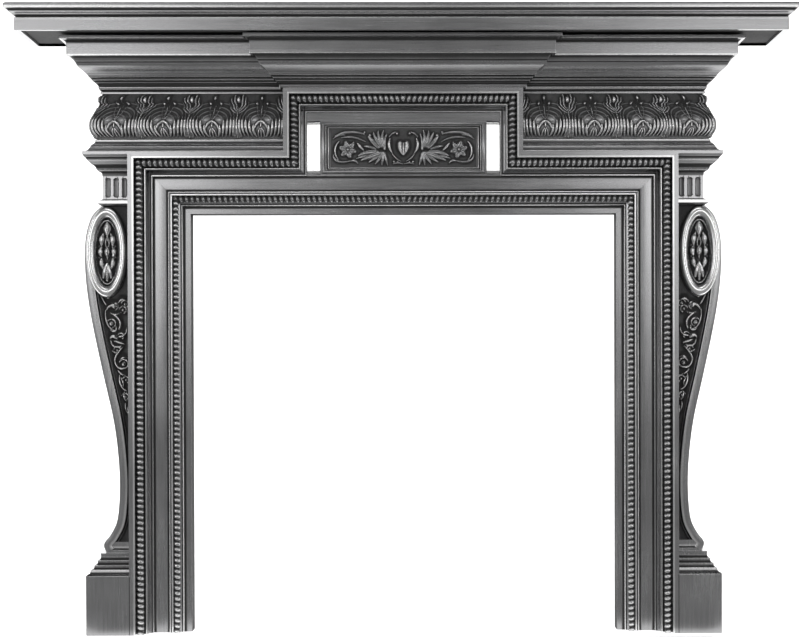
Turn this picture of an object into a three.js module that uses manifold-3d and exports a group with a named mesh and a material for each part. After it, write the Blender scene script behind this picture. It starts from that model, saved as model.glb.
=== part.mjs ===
// Cast-iron fireplace surround: a moulded shelf on a carved header and two scrolled legs.
// It is drawn in elevation, in millimetres: x across, y up from the floor, z out from the wall.
// The last group turns that drawing so that z is up and the front faces -y.
import * as THREE from 'three';
import { mergeVertices } from 'three/addons/utils/BufferGeometryUtils.js';
import Module from 'manifold-3d';

const wasm = await Module();
wasm.setup();

// Opening, joints and fits
const openingWidth = 914;
const openingHeight = 897;
const jointGap = 0.3;
const overlap = 2; // how far members of one casting run into each other
const rootDepth = 4; // how far bosses are sunk into the casting that carries them
const leafRoot = 1; // how far the edges of a leaf are sunk

// Architrave members from the opening outwards: width, and height off the wall at both edges
const architrave = {
  innerFlat: { width: 16, from: 56, to: 56 },
  bead: { width: 5, from: 62, to: 62 },
  innerRope: { width: 16.5, from: 67, to: 74, crest: 84, dip: 78 },
  riser: { width: 9, from: 80, to: 80 },
  band: { width: 33, from: 68, to: 68 },
  lowerStep: { width: 5, from: 75, to: 75 },
  cyma: { width: 7, from: 79, to: 92 },
  upperStep: { width: 3, from: 98, to: 98 },
  outerRope: { width: 19, from: 102, to: 110, crest: 118, dip: 111 },
  outerFillet: { width: 12.9, from: 122.5, to: 122.5 },
};
const ropePitch = 11.75;
const ropeLead = 1.1; // how far a strand runs on as it crosses the rope, in pitches

// Tablet: the middle of the header, round which the outer architrave steps up
const tablet = { halfWidth: 254.3, rise: 136 };
const panel = { halfWidth: 175.5, height: 107, base: 6, side: 20.5, rail: 14, lift: 11, ground: 2 };

// Core that the wings of the header and the blocks of the legs share, and the breakfront
const core = { reach: 57.6, depth: 84 };
const breakfront = { depth: 118, firstMember: 1 };
const headLap = 4; // how far the base moulding comes down over the architrave head

// Header members from the base upwards: height, and how far the face stands out at both edges
const baseMembers = [
  { rise: 6.5, from: 38, to: 38 },
  { rise: 4, from: 33, to: 29 },
  { rise: 4, from: 29, to: 25 },
  { rise: 6, from: 24, to: 18 },
  { rise: 6, from: 17, to: 14 },
  { rise: 6, from: 14, to: 14 },
  { rise: 1.5, from: 11, to: 11 },
];
const frieze = { height: 97, bulges: [12, 21.5, 20.9, 10.9, 2.3, 0] };
const corniceMembers = [
  { rise: 4.5, from: 4, to: 4 },
  { rise: 4, from: 1.5, to: 1.5 },
  { rise: 9, from: 6, to: 6 },
  { rise: 4, from: 9, to: 9 },
  { rise: 5, from: 15, to: 15 },
  { rise: 6, from: 20.6, to: 20.6 },
  { rise: 5, from: 25, to: 31 },
  { rise: 7, from: 31, to: 37 },
  { rise: 10, from: 37, to: 45 },
  { rise: 8, from: 45, to: 49 },
  { rise: 10, from: 51, to: 57 },
  { rise: 32, from: 66, to: 66 },
  { rise: 2, from: 68, to: 76 },
  { rise: 7, from: 79, to: 79 },
];

// Shelf, and its members from the soffit upwards: height, and how far they stay behind its lip
const shelf = { inset: 71, projection: 250 };
const shelfMembers = [
  { rise: 26.5, from: 19, to: 19 },
  { rise: 5, from: 22, to: 22 },
  { rise: 5, from: 16, to: 9 },
  { rise: 5, from: 9, to: 9 },
  { rise: 1.5, from: 6, to: 6 },
  { rise: 9.5, from: 0, to: 0 },
  { rise: 2.5, from: 0, to: 4 },
];

// Leg blocks beside the architrave: how far they reach out from its outer edge
const plinth = { height: 125, reach: 91.5 };
const neck = { height: 49, fluteWidth: 11, flutePitch: 17.5, fluteHeight: 41 };
const footMembers = [
  { rise: 6, from: 35, to: 27 },
  { rise: 8, from: 27, to: 25 },
  { rise: 9, from: 20, to: 20 },
  { rise: 10, from: 14, to: 14 },
  { rise: 14, from: 8, to: 8 },
];
const abacusMembers = [
  { rise: 3, from: 4, to: 8 },
  { rise: 8, from: 10, to: 10 },
  { rise: 3, from: 6, to: 2 },
];
const capMembers = [
  { rise: 10, from: 1, to: 3 },
  { rise: 9, from: 9, to: 13 },
  { rise: 5, from: 14, to: 20 },
  { rise: 8, from: 21, to: 28 },
  { rise: 6, from: 28, to: 31 },
  { rise: 5.5, from: 34, to: 38 },
];

// Scroll console of each leg; its outline pairs a share of its height with a reach
const scroll = { depth: 76, strapWidth: 19, strapLift: 12, railHeight: 24, steps: 28 };
const scrollOutline = [
  [0, 50], [0.012, 56], [0.025, 57.6], [0.037, 53], [0.056, 42], [0.098, 28.5], [0.18, 23.4],
  [0.27, 25.6], [0.38, 35.6], [0.52, 58.4], [0.66, 80], [0.76, 91.5], [0.845, 95.8],
  [0.91, 93.3], [0.957, 84.5], [0.981, 74], [1, 58],
];
const oval = { level: 0.867, reach: 49.5, halfWidth: 46, halfHeight: 96, lift: 18 };
const hoop = { shoulder: 6, shoulderShare: 0.55, lip: 2, lipShare: 0.8 };
const dish = { halfWidth: 25.6, halfHeight: 72.6, lift: 4 };
const rosette = { petals: 8, halfWidth: 5.5, relief: 9, boss: 9 };

// Carving of the frieze, of the consoles and of the tablet's panel
const leafBase = 5; // how far above the frieze's lower edge its leaves start
const anthemion = { pitch: 102.4, relief: 6 };
const lobe = { pairs: 2, foot: 7, step: 15, length: 34, growth: 16, halfWidth: 5, lean: 14, bend: 55 };
const bud = { base: 22, length: 62, halfWidth: 3.5 };
const lotus = { halfWidth: 6.5, length: 83, relief: 7 };
const cornerShare = 0.85; // how far out the carving turns the corner, as a share of the largest bulge
const vine = { pairs: 6, top: 0.73, bottom: 0.43, drop: 24, relief: 9 };
const tendril = { length: 0.75, halfWidth: 0.09, lean: 10, bend: 75 }; // the first two share the free width
const panelFlower = { x: 118, radius: 17, petals: 6, petalWidth: 4.5, boss: 5 };
const panelBoss = { halfWidth: 12, halfHeight: 17, lift: 1.5 };
const panelStem = { halfWidth: 4, relief: 7 };
const panelStems = [ // where each sets off from the panel's middle, its length, heading and bend
  { x: 14, y: 24, length: 46, heading: -10, bend: 40 },
  { x: 14, y: -22, length: 46, heading: 10, bend: -35 },
  { x: 46, y: -6, length: 46, heading: 50, bend: -80 },
  { x: 78, y: -22, length: 50, heading: 30, bend: 60 },
  { x: 138, y: -26, length: 50, heading: 40, bend: 90 },
];

// Facets and proportions of petals and buttons
const ovalSides = 16;
const buttonSides = 8;
const buttonShoulder = { size: 0.9, lift: 0.6 };
const buttonTop = 0.5;
const petalShares = [0.15, 0.5, 0.8, 1]; // stations of a petal between the middle and the rim
const bossLift = 1.2; // lift of a flower's boss, as a share of its relief
const longestBoss = 2; // greatest height of a boss, as a share of its width

// Levels and edges that follow from the sizes above
const sumOf = (members, key) => members.reduce((sum, member) => sum + member[key], 0);
const mitreGap = jointGap * Math.SQRT2;
const architraveWidth = sumOf(Object.values(architrave), 'width');
const architraveEdge = openingWidth / 2 + architraveWidth;
const wingEdge = architraveEdge + core.reach;
const headTop = openingHeight + architraveWidth;
const headerBase = headTop - headLap;
const friezeBase = headerBase + sumOf(baseMembers, 'rise');
const corniceBase = friezeBase + frieze.height;
const headerTop = corniceBase + sumOf(corniceMembers, 'rise');
const shelfBase = headerTop + jointGap;
const capTop = headerBase - jointGap;
const neckTop = capTop - sumOf(capMembers, 'rise');
const neckBase = neckTop - neck.height;
const scrollTop = neckBase - sumOf(abacusMembers, 'rise');
const scrollBase = plinth.height + sumOf(footMembers, 'rise');
const scrollHeight = scrollTop - scrollBase;
const strapFront = scroll.depth + scroll.strapLift;

// Welds a geometry into a closed solid, and turns it the right way out
function solidOf(geometry) {
  const bare = geometry.clone();
  bare.deleteAttribute('normal');
  bare.deleteAttribute('uv');
  const welded = mergeVertices(bare, 1e-3);
  const place = welded.attributes.position;
  const kept = [];
  const [a, b, c] = [0, 1, 2].map(() => new THREE.Vector3());
  let volume = 0;
  for (let i = 0; i < welded.index.count; i += 3) {
    const face = [0, 1, 2].map((k) => welded.index.getX(i + k));
    if (new Set(face).size < 3) continue;
    [a, b, c].forEach((corner, k) => corner.fromBufferAttribute(place, face[k]));
    volume += a.dot(b.cross(c));
    kept.push(...face);
  }
  const triVerts = new Uint32Array(volume < 0 ? kept.reverse() : kept);
  const vertProperties = new Float32Array(place.array);
  return new wasm.Manifold(new wasm.Mesh({ numProp: 3, vertProperties, triVerts }));
}

function solidFrom(points, triangles) {
  const geometry = new THREE.BufferGeometry().setFromPoints(points);
  geometry.setIndex(triangles);
  return solidOf(geometry);
}

function joined(solids) {
  return solids.reduce((whole, solid) => whole.add(solid));
}

// Triangles that close one end of a shell. flat is the end's outline in its own plane.
function endFaces(flat, ring, isStart) {
  const inOrder = THREE.ShapeUtils.isClockWise(flat) === isStart;
  return THREE.ShapeUtils.triangulateShape(flat, []).flatMap((face) => {
    const ids = face.map((i) => ring[i]);
    return inOrder ? ids : ids.reverse();
  });
}

// A loft through closed loops of equal length; its two ends are convex and flat
function loft(loops) {
  const size = loops[0].length;
  const last = (loops.length - 1) * size;
  const triangles = [];
  loops.slice(1).forEach((loop, row) => {
    loop.forEach((point, i) => {
      const a = row * size + i;
      const b = row * size + ((i + 1) % size);
      triangles.push(a, b, b + size, a, b + size, a + size);
    });
  });
  for (let i = 1; i + 1 < size; i++) triangles.push(0, i + 1, i, last, last + i, last + i + 1);
  return solidFrom(loops.flat(), triangles);
}

// A block against the wall, with mouldings on its front and on the sides that show
function mouldedBlock({ left, right, depth, base, members, sides = [1, 1] }) {
  let level = base;
  const loops = members.flatMap(({ rise, from, to }) => {
    const rows = [[level, from], [level + rise, to]];
    level += rise;
    return rows.map(([y, out]) => {
      const x0 = left - out * sides[0];
      const x1 = right + out * sides[1];
      const front = depth + out;
      return [[x0, 0], [x0, front], [x1, front], [x1, 0]].map(([x, z]) => new THREE.Vector3(x, y, z));
    });
  });
  return loft(loops);
}

// A slab drawn in elevation, between two distances off the wall
function slab(shape, back, front) {
  const geometry = new THREE.ExtrudeGeometry(shape, { depth: front - back, bevelEnabled: false });
  return solidOf(geometry.translate(0, 0, back));
}

function rectangle(x0, y0, x1, y1) {
  return new THREE.Shape([[x0, y0], [x1, y0], [x1, y1], [x0, y1]].map(([x, y]) => new THREE.Vector2(x, y)));
}

// Where an architrave member starts, measured from the opening
function memberStart(name) {
  const names = Object.keys(architrave);
  return sumOf(names.slice(0, names.indexOf(name)).map((key) => architrave[key]), 'width');
}

// One line of the architrave along its path, as stations numbered by the corners before them
function plainColumn(route, offset, height) {
  return route(offset).map(([x, y], key) => ({ key, point: new THREE.Vector3(x, y, height) }));
}

// One line of a rope: its edges dip between strands, and its middle also rises to a crest in each
function ropeColumn(route, offset, middle, lean, edgeHeight, dip, crest) {
  const corners = route(offset);
  const spine = route(middle);
  const stations = [];
  spine.slice(1).forEach(([x1, y1], k) => {
    const [x0, y0] = spine[k];
    const count = Math.max(1, Math.round(Math.hypot(x1 - x0, y1 - y0) / ropePitch));
    const upright = Math.abs(y1 - y0) > Math.abs(x1 - x0);
    const shift = lean * ropeLead * (upright ? 1 : -1) * (x0 + x1 < 0 ? 1 : -1);
    const put = (key, share, height) => {
      const x = THREE.MathUtils.lerp(corners[k][0], corners[k + 1][0], share);
      const y = THREE.MathUtils.lerp(corners[k][1], corners[k + 1][1], share);
      stations.push({ key: k + key, point: new THREE.Vector3(x, y, height) });
    };
    for (let i = 0; i < count; i++) {
      put(i / count, i ? (i + shift) / count : 0, lean ? edgeHeight : dip);
      if (!lean) put((i + 0.5) / count, (i + 0.5) / count, crest);
    }
  });
  const [x, y] = corners.at(-1);
  stations.push({ key: spine.length - 1, point: new THREE.Vector3(x, y, lean ? edgeHeight : dip) });
  return stations;
}

// Carries architrave members along a mitred path: route(offset) lists the corners of the path
function sweep(route, names, spread = 0) {
  let offset = memberStart(names[0]);
  const columns = [plainColumn(route, offset, 0)];
  names.forEach((name) => {
    const { width, from, to, crest, dip } = architrave[name];
    const end = offset + width;
    const middle = offset + width / 2;
    if (crest) {
      columns.push(ropeColumn(route, offset, middle, -0.5, from));
      columns.push(ropeColumn(route, middle, middle, 0, 0, dip, crest));
      columns.push(ropeColumn(route, end, middle, 0.5, to));
    } else {
      columns.push(plainColumn(route, offset, from));
      columns.push(plainColumn(route, end + (name === names.at(-1) ? spread : 0), to));
    }
    offset = end;
  });
  columns.push(plainColumn(route, offset + spread, 0));
  return zip(columns);
}

// Joins neighbouring columns of stations into a shell, and closes its two ends
function zip(columns) {
  const points = [];
  const lines = columns.map((stations) => {
    return stations.map(({ key, point }) => ({ key, id: points.push(point) - 1 }));
  });
  const triangles = [];
  lines.forEach((one, c) => {
    const two = lines[(c + 1) % lines.length];
    let i = 0;
    let j = 0;
    while (i + 1 < one.length || j + 1 < two.length) {
      const nextOne = one[i + 1]?.key ?? Infinity;
      const nextTwo = two[j + 1]?.key ?? Infinity;
      const tie = nextOne === nextTwo && one.length <= two.length;
      if (nextOne < nextTwo || tie) {
        triangles.push(one[i].id, two[j].id, one[i + 1].id);
        i += 1;
      } else {
        triangles.push(one[i].id, two[j].id, two[j + 1].id);
        j += 1;
      }
    }
  });
  [0, -1].forEach((end) => {
    const ring = lines.map((line) => line.at(end).id);
    const across = new THREE.Vector3().subVectors(points[ring.at(-1)], points[ring[0]]).normalize();
    const flat = ring.map((id) => new THREE.Vector2(points[id].dot(across), points[id].z));
    triangles.push(...endFaces(flat, ring, end === 0));
  });
  return solidFrom(points, triangles);
}

// A leaf along a spine, pointed at both ends; onFace(x, y, lift) gives a point off the carved face
function leaf(spine, halfWidth, relief, onFace) {
  const points = spine.map(([x, y]) => new THREE.Vector2(x, y));
  const loops = points.map((point, i) => {
    const before = points[Math.max(0, i - 1)];
    const after = points[Math.min(points.length - 1, i + 1)];
    const along = after.clone().sub(before).normalize();
    const swell = Math.sin((Math.PI * i) / (points.length - 1));
    const side = new THREE.Vector2(-along.y, along.x).multiplyScalar(halfWidth * swell);
    return [
      onFace(point.x + side.x, point.y + side.y, -leafRoot),
      onFace(point.x, point.y, (relief + leafRoot) * swell - leafRoot),
      onFace(point.x - side.x, point.y - side.y, -leafRoot),
    ];
  });
  return loft(loops);
}

// A spine that sets off at one heading and turns steadily by a bend
function bentSpine(x, y, length, heading, bend, steps = 2) {
  const spine = [[x, y]];
  for (let i = 0; i < steps; i++) {
    const angle = THREE.MathUtils.degToRad(heading + (bend * (i + 0.5)) / steps);
    const [px, py] = spine[i];
    spine.push([px + (Math.cos(angle) * length) / steps, py + (Math.sin(angle) * length) / steps]);
  }
  return spine;
}

// The face of the frieze bulges by this much at a height
function bulgeAt(y) {
  const share = THREE.MathUtils.clamp((y - friezeBase) / frieze.height, 0, 1) * (frieze.bulges.length - 1);
  const i = Math.min(Math.floor(share), frieze.bulges.length - 2);
  return THREE.MathUtils.lerp(frieze.bulges[i], frieze.bulges[i + 1], share - i);
}

// One unit of the frieze: nested arches of lobes that lean in over an upright bud
function anthemionAt(centre, onFace) {
  const upright = bentSpine(centre, friezeBase + bud.base, bud.length, 90, 0);
  const lobes = [leaf(upright, bud.halfWidth, anthemion.relief, onFace)];
  for (let i = 1; i <= lobe.pairs; i++) {
    [-1, 1].forEach((side) => {
      const foot = centre + side * (lobe.foot + lobe.step * i);
      const length = lobe.length + lobe.growth * i;
      const heading = 90 - side * lobe.lean;
      const spine = bentSpine(foot, friezeBase + leafBase, length, heading, side * lobe.bend, 3);
      lobes.push(leaf(spine, lobe.halfWidth, anthemion.relief, onFace));
    });
  }
  return lobes;
}

// The pointed leaf between two fans
function lotusAt(centre, onFace) {
  const spine = bentSpine(centre, friezeBase + leafBase, lotus.length, 90, 0);
  return leaf(spine, lotus.halfWidth, lotus.relief, onFace);
}

// Carving of one wing of the frieze: its front, its corner and its return to the wall
function friezeCarving(side) {
  const cornerOut = Math.max(...frieze.bulges) * cornerShare;
  const inner = tablet.halfWidth - rootDepth;
  const span = wingEdge + cornerOut - inner;
  const count = Math.round(span / anthemion.pitch);
  const front = (x, y, lift) => new THREE.Vector3(side * x, y, core.depth + bulgeAt(y) + lift);
  const corner = (a, y, lift) => {
    const out = bulgeAt(y) + lift - lotus.halfWidth / 2;
    const across = a * Math.SQRT1_2;
    return new THREE.Vector3(side * (wingEdge + out + across), y, core.depth + out - across);
  };
  const end = (z, y, lift) => new THREE.Vector3(side * (wingEdge + bulgeAt(y) + lift), y, z);
  const leaves = [...anthemionAt((core.depth + cornerOut) / 2, end), lotusAt(0, corner)];
  for (let i = 0; i < count; i++) {
    leaves.push(...anthemionAt(inner + (span * (i + 0.5)) / count, front));
    if (i) leaves.push(lotusAt(inner + (span * i) / count, front));
  }
  return leaves;
}

// A raised oval boss as a loop of points
function ovalLoop(x, y, halfWidth, halfHeight, z, sides = ovalSides) {
  return Array.from({ length: sides }, (unused, i) => {
    const angle = (2 * Math.PI * i) / sides;
    return new THREE.Vector3(x + halfWidth * Math.cos(angle), y + halfHeight * Math.sin(angle), z);
  });
}

// Petals round a boss, in an oval
function flower({ x, y, halfWidth, halfHeight, petals, petalWidth, relief, boss, ground }) {
  const onGround = (px, py, lift) => new THREE.Vector3(px, py, ground + lift);
  const parts = [];
  for (let i = 0; i < petals; i++) {
    const angle = (2 * Math.PI * i) / petals + Math.PI / 2;
    const spine = petalShares.map((share) => {
      return [x + share * halfWidth * Math.cos(angle), y + share * halfHeight * Math.sin(angle)];
    });
    parts.push(leaf(spine, petalWidth, relief, onGround));
  }
  const bossHeight = boss * Math.min(longestBoss, halfHeight / halfWidth);
  return [...parts, button(x, y, boss, bossHeight, relief * bossLift, ground)];
}

// A domed oval button standing on a ground
function button(x, y, halfWidth, halfHeight, lift, ground) {
  return loft([
    [1, -rootDepth],
    [buttonShoulder.size, lift * buttonShoulder.lift],
    [buttonTop, lift],
  ].map(([size, rise]) => {
    return ovalLoop(x, y, halfWidth * size, halfHeight * size, ground + rise, buttonSides);
  }));
}

// The stepped frame, the sunk panel and the foliage of the tablet
function tabletPanel() {
  const field = architrave.band.from;
  const ground = field + panel.ground;
  const bottom = openingHeight + memberStart('lowerStep') + panel.base;
  const top = bottom + panel.height;
  const level = (bottom + top) / 2;
  const frame = slab(rectangle(-panel.halfWidth, bottom, panel.halfWidth, top), 0, field + panel.lift);
  const inner = rectangle(
    panel.side - panel.halfWidth, bottom + panel.rail, panel.halfWidth - panel.side, top - panel.rail,
  );
  const parts = [frame.subtract(slab(inner, ground, ground + field))];
  const onGround = (x, y, lift) => new THREE.Vector3(x, y, ground + lift);
  const { relief } = panelStem;
  const { x: flowerAt, radius, petals, petalWidth, boss } = panelFlower;
  const round = { halfWidth: radius, halfHeight: radius, petals, petalWidth, relief, boss, ground };
  [-1, 1].forEach((side) => {
    panelStems.forEach(({ x, y, length, heading, bend }) => {
      const spine = bentSpine(x, level + y, length, heading, bend).map(([px, py]) => [side * px, py]);
      parts.push(leaf(spine, panelStem.halfWidth, relief, onGround));
    });
    parts.push(...flower({ x: side * flowerAt, y: level, ...round }));
  });
  const { halfWidth, halfHeight, lift } = panelBoss;
  parts.push(button(0, level, halfWidth, halfHeight, relief * lift, ground));
  return joined(parts);
}

// Header: wings, breakfront, architrave head stepped round the tablet, and the carving
function buildHeader() {
  const names = Object.keys(architrave);
  const innerNames = names.slice(0, names.indexOf('lowerStep'));
  const outerNames = names.slice(innerNames.length);
  const stepStart = memberStart('lowerStep');
  const reach = (t) => openingWidth / 2 + t - mitreGap;
  const step = tablet.halfWidth - architraveWidth;
  const raised = headTop + tablet.rise - architraveWidth;
  const symmetric = (half, middle) => [...half, middle, ...half.map(([x, y]) => [-x, y]).reverse()];
  const innerRoute = (t) => symmetric([[-reach(t), openingHeight + t]], [0, openingHeight + t]);
  const outerRoute = (t) => {
    const [low, high] = [openingHeight + t, raised + t];
    return symmetric([[-reach(t), low], [-step - t, low], [-step - t, high]], [0, high]);
  };
  const members = [
    ...baseMembers,
    ...frieze.bulges.slice(1).map((to, i) => {
      return { rise: frieze.height / (frieze.bulges.length - 1), from: frieze.bulges[i], to };
    }),
    ...corniceMembers,
  ];
  const wings = { left: -wingEdge, right: wingEdge, depth: core.depth, base: headerBase, members };
  const cut = tablet.halfWidth - overlap / 2;
  const opened = rectangle(-cut, headerBase - overlap, cut, headTop + tablet.rise - overlap);
  const recess = slab(opened, architrave.innerFlat.from, shelf.projection);
  const centre = mouldedBlock({
    left: -tablet.halfWidth,
    right: tablet.halfWidth,
    depth: breakfront.depth,
    base: corniceBase + sumOf(corniceMembers.slice(0, breakfront.firstMember), 'rise'),
    members: corniceMembers.slice(breakfront.firstMember),
  });
  const fieldEdge = step + stepStart + overlap;
  const field = rectangle(
    -fieldEdge, openingHeight + stepStart - overlap, fieldEdge, raised + stepStart + overlap,
  );
  return joined([
    mouldedBlock(wings).subtract(recess),
    centre,
    slab(field, 0, architrave.band.from),
    sweep(innerRoute, innerNames, overlap),
    sweep(outerRoute, outerNames),
    tabletPanel(),
    ...friezeCarving(-1),
    ...friezeCarving(1),
  ]);
}

// Shelf: mouldings round three sides of a plain board
function buildShelf() {
  const edge = wingEdge - shelf.inset;
  const members = shelfMembers.map(({ rise, from, to }) => {
    return { rise, from: shelf.projection - from, to: shelf.projection - to };
  });
  return mouldedBlock({ left: -edge, right: edge, depth: 0, base: shelfBase, members });
}

// Outer line of the left console from its toe to its top
function scrollLine() {
  const places = scrollOutline.map(([share, reach]) => {
    return new THREE.Vector2(-architraveEdge - reach, scrollBase + share * scrollHeight);
  });
  return new THREE.SplineCurve(places).getPoints(scroll.steps);
}

// Scroll console: a plain ground behind a raised strap, a rail at its foot and an oval rosette
function buildConsole() {
  const line = scrollLine();
  const insideEdge = -architraveEdge + overlap;
  const inset = line.map(({ x, y }, i) => {
    const after = line[Math.min(i + 1, line.length - 1)];
    const before = line[Math.max(i - 1, 0)];
    const along = after.clone().sub(before).normalize();
    return new THREE.Vector2(x + along.y * scroll.strapWidth, y - along.x * scroll.strapWidth);
  });
  const closing = [scrollTop, scrollBase].map((level) => new THREE.Vector2(insideEdge, level));
  const strap = line.slice(1, -1);
  const strapInset = inset.slice(1, -1).reverse();
  const toe = -architraveEdge - scrollOutline[0][1];
  const rail = rectangle(toe, scrollBase, insideEdge, scrollBase + scroll.railHeight);
  const x = -architraveEdge - oval.reach;
  const y = scrollBase + oval.level * scrollHeight;
  const { halfWidth, halfHeight, lift } = oval;
  const hoopLoops = [
    [halfWidth, halfHeight, -rootDepth],
    [halfWidth, halfHeight, lift * hoop.shoulderShare],
    [halfWidth - hoop.shoulder, halfHeight - hoop.shoulder, lift],
    [dish.halfWidth + hoop.lip, dish.halfHeight + hoop.lip, lift * hoop.lipShare],
    [dish.halfWidth, dish.halfHeight, dish.lift],
  ].map(([wide, high, rise]) => ovalLoop(x, y, wide, high, scroll.depth + rise));
  const { petals, halfWidth: petalWidth, relief, boss } = rosette;
  const inDish = { ...dish, petals, petalWidth, relief, boss, ground: scroll.depth + dish.lift };
  const onGround = (px, py, off) => new THREE.Vector3(px, py, scroll.depth + off);
  const vineLeaves = [];
  for (let i = 0; i < vine.pairs; i++) {
    const share = THREE.MathUtils.lerp(vine.top, vine.bottom, i / (vine.pairs - 1));
    const level = scrollBase + share * scrollHeight;
    const away = (point) => Math.abs(point.y - level);
    const nearest = line.reduce((near, point) => (away(point) < away(near) ? point : near));
    const free = -architraveEdge - nearest.x - scroll.strapWidth;
    const middle = -architraveEdge - free / 2;
    [-1, 1].forEach((side) => {
      const heading = 90 + side * tendril.lean;
      const length = free * tendril.length;
      const spine = bentSpine(middle, level - vine.drop, length, heading, side * tendril.bend);
      vineLeaves.push(leaf(spine, free * tendril.halfWidth, vine.relief, onGround));
    });
  }
  return [
    slab(new THREE.Shape([...line, ...closing]), 0, scroll.depth),
    slab(new THREE.Shape([...strap, ...strapInset]), 0, strapFront),
    slab(rail, 0, strapFront),
    loft(hoopLoops),
    ...flower({ x, y, ...inDish }),
    ...vineLeaves,
  ];
}

// Flutes round the front and the outer side of the neck
function neckFlutes() {
  const radius = neck.fluteWidth / 2;
  const y = neckBase + neck.height / 2;
  const flute = (x, z) => {
    const round = new THREE.CylinderGeometry(radius, radius, neck.fluteHeight, buttonSides);
    return solidOf(round.translate(x, y, z));
  };
  const along = (length) => {
    const count = Math.floor(length / neck.flutePitch);
    const first = (length - (count - 1) * neck.flutePitch) / 2;
    return Array.from({ length: count }, (unused, i) => first + i * neck.flutePitch);
  };
  return joined([
    ...along(core.reach).map((x) => flute(-architraveEdge - x, core.depth)),
    ...along(core.depth).map((z) => flute(-wingEdge, z)),
  ]);
}

// Left leg: plinth and foot mouldings, console, fluted neck and cap, beside its architrave upright
function buildLeg() {
  const sill = openingWidth / 2;
  const upright = (t) => [[-sill - t, 0], [-sill - t, openingHeight + t]];
  const block = (reach, depth, base, members) => mouldedBlock({
    left: -architraveEdge - reach, right: -architraveEdge + overlap, depth, base, members, sides: [1, 0],
  });
  const plain = (rise) => [{ rise, from: 0, to: 0 }];
  const shaft = block(core.reach, core.depth, neckBase - overlap, plain(neck.height + 2 * overlap));
  const above = rectangle(-wingEdge, capTop, 0, headTop + overlap);
  return joined([
    sweep(upright, Object.keys(architrave)).subtract(slab(above, -overlap, shelf.projection)),
    block(plinth.reach, architrave.outerFillet.from, 0, plain(plinth.height)),
    block(core.reach, core.depth, plinth.height, footMembers),
    ...buildConsole(),
    block(core.reach, core.depth, scrollTop, abacusMembers),
    shaft.subtract(neckFlutes()),
    block(core.reach, core.depth, neckTop, capMembers),
  ]);
}

// A named mesh from a solid; a mirrored one is its twin on the other side
function meshOf(name, solid, material, mirrored = false) {
  const { vertProperties, triVerts } = solid.getMesh();
  const geometry = new THREE.BufferGeometry();
  geometry.setAttribute('position', new THREE.BufferAttribute(vertProperties, 3));
  geometry.setIndex(new THREE.BufferAttribute(triVerts, 1));
  if (mirrored) {
    geometry.scale(-1, 1, 1);
    geometry.index.array.reverse();
  }
  geometry.computeVertexNormals();
  const mesh = new THREE.Mesh(geometry, material);
  mesh.name = name;
  return mesh;
}

function castIron(name, color, roughness) {
  return new THREE.MeshStandardMaterial({ name, color, roughness, metalness: 1 });
}

const leg = buildLeg();
const elevation = new THREE.Group();
elevation.add(
  meshOf('mantel_shelf', buildShelf(), castIron('polished shelf', 0x6f7072, 0.28)),
  meshOf('header', buildHeader(), castIron('polished header', 0x6a6b6d, 0.32)),
  meshOf('left_leg', leg, castIron('polished left leg', 0x6a6b6d, 0.3)),
  meshOf('right_leg', leg, castIron('polished right leg', 0x6a6b6d, 0.3), true),
);
elevation.rotation.x = Math.PI / 2;
elevation.position.y = shelf.projection / 2;

const surround = new THREE.Group();
surround.add(elevation);

export default surround;
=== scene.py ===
"""Looks of a polished cast-iron fireplace surround, worked out in elevation and set into the frame.

Sizes are in millimetres: x across, y up from the floor, z out from the wall. Each surface is a numpy
grid, and in_frame() turns it into the frame's metres.
"""

import logging
import math
from dataclasses import dataclass
from enum import Enum
from typing import Any, Callable, Sequence

import bpy
import numpy as np
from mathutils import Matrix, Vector


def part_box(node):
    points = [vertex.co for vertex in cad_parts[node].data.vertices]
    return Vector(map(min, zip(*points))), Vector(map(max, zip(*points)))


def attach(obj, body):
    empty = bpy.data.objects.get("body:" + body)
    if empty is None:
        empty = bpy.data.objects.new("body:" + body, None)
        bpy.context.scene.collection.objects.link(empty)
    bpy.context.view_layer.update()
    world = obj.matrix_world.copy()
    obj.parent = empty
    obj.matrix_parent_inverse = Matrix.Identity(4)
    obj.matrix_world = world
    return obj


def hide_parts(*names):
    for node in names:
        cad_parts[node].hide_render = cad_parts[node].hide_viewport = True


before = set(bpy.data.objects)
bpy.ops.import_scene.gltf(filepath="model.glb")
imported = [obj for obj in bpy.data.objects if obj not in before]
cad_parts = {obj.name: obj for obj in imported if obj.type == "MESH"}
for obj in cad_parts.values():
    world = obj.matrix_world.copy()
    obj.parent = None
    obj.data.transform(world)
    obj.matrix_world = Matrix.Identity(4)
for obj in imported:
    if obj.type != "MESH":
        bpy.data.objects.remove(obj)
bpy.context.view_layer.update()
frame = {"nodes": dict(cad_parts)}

Array = np.ndarray
Route = Callable[[Array], Array]
LOG = logging.getLogger("surround")
MM = 0.001
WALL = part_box("header")[1].y

ARRIS = 0.9  # radius of a polished edge
EASE_SHARE, HOLD_SHARE = 0.4, 0.48  # most of a straight that an edge at its end takes up
HOLD = 0.5  # strip beside an edge that keeps the flat beyond it flat
CORNER = math.radians(14)  # a turn sharper than this is an edge
STEP = 2.5  # longest stretch of a profile without a point
BOWED_POINTS, ROUND_POINTS = 9, 7  # points along a bowed member and round the end of a hollow or face
CRISP, CARVED = 50.0, 80.0  # turns in degrees that stay crisp, on mouldings and on carving
JOINT_GAP = 0.3
LIGHT_AND_WEAR = "light_and_wear"  # attribute that is negative in recesses and positive on edges: painted shade and painted highlight, partly the black lead and rubbed polish of the casting
SIGHT = 4.5  # how far a neighbour shades a point
CHORD = 8.0  # how far along the profile its bulge is judged
BULGE = 0.07  # painted highlight for each millimetre of bulge
REVEAL = -0.36  # painted shade on the faces that a path closes with
SOFFIT, SOFFIT_RIM = -0.34, 0.1  # painted shade of a sunk underside, and painted highlight of the rim round it
CORNER_HIGHLIGHT = 0.25  # painted highlight added at a block's front corners
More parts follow.
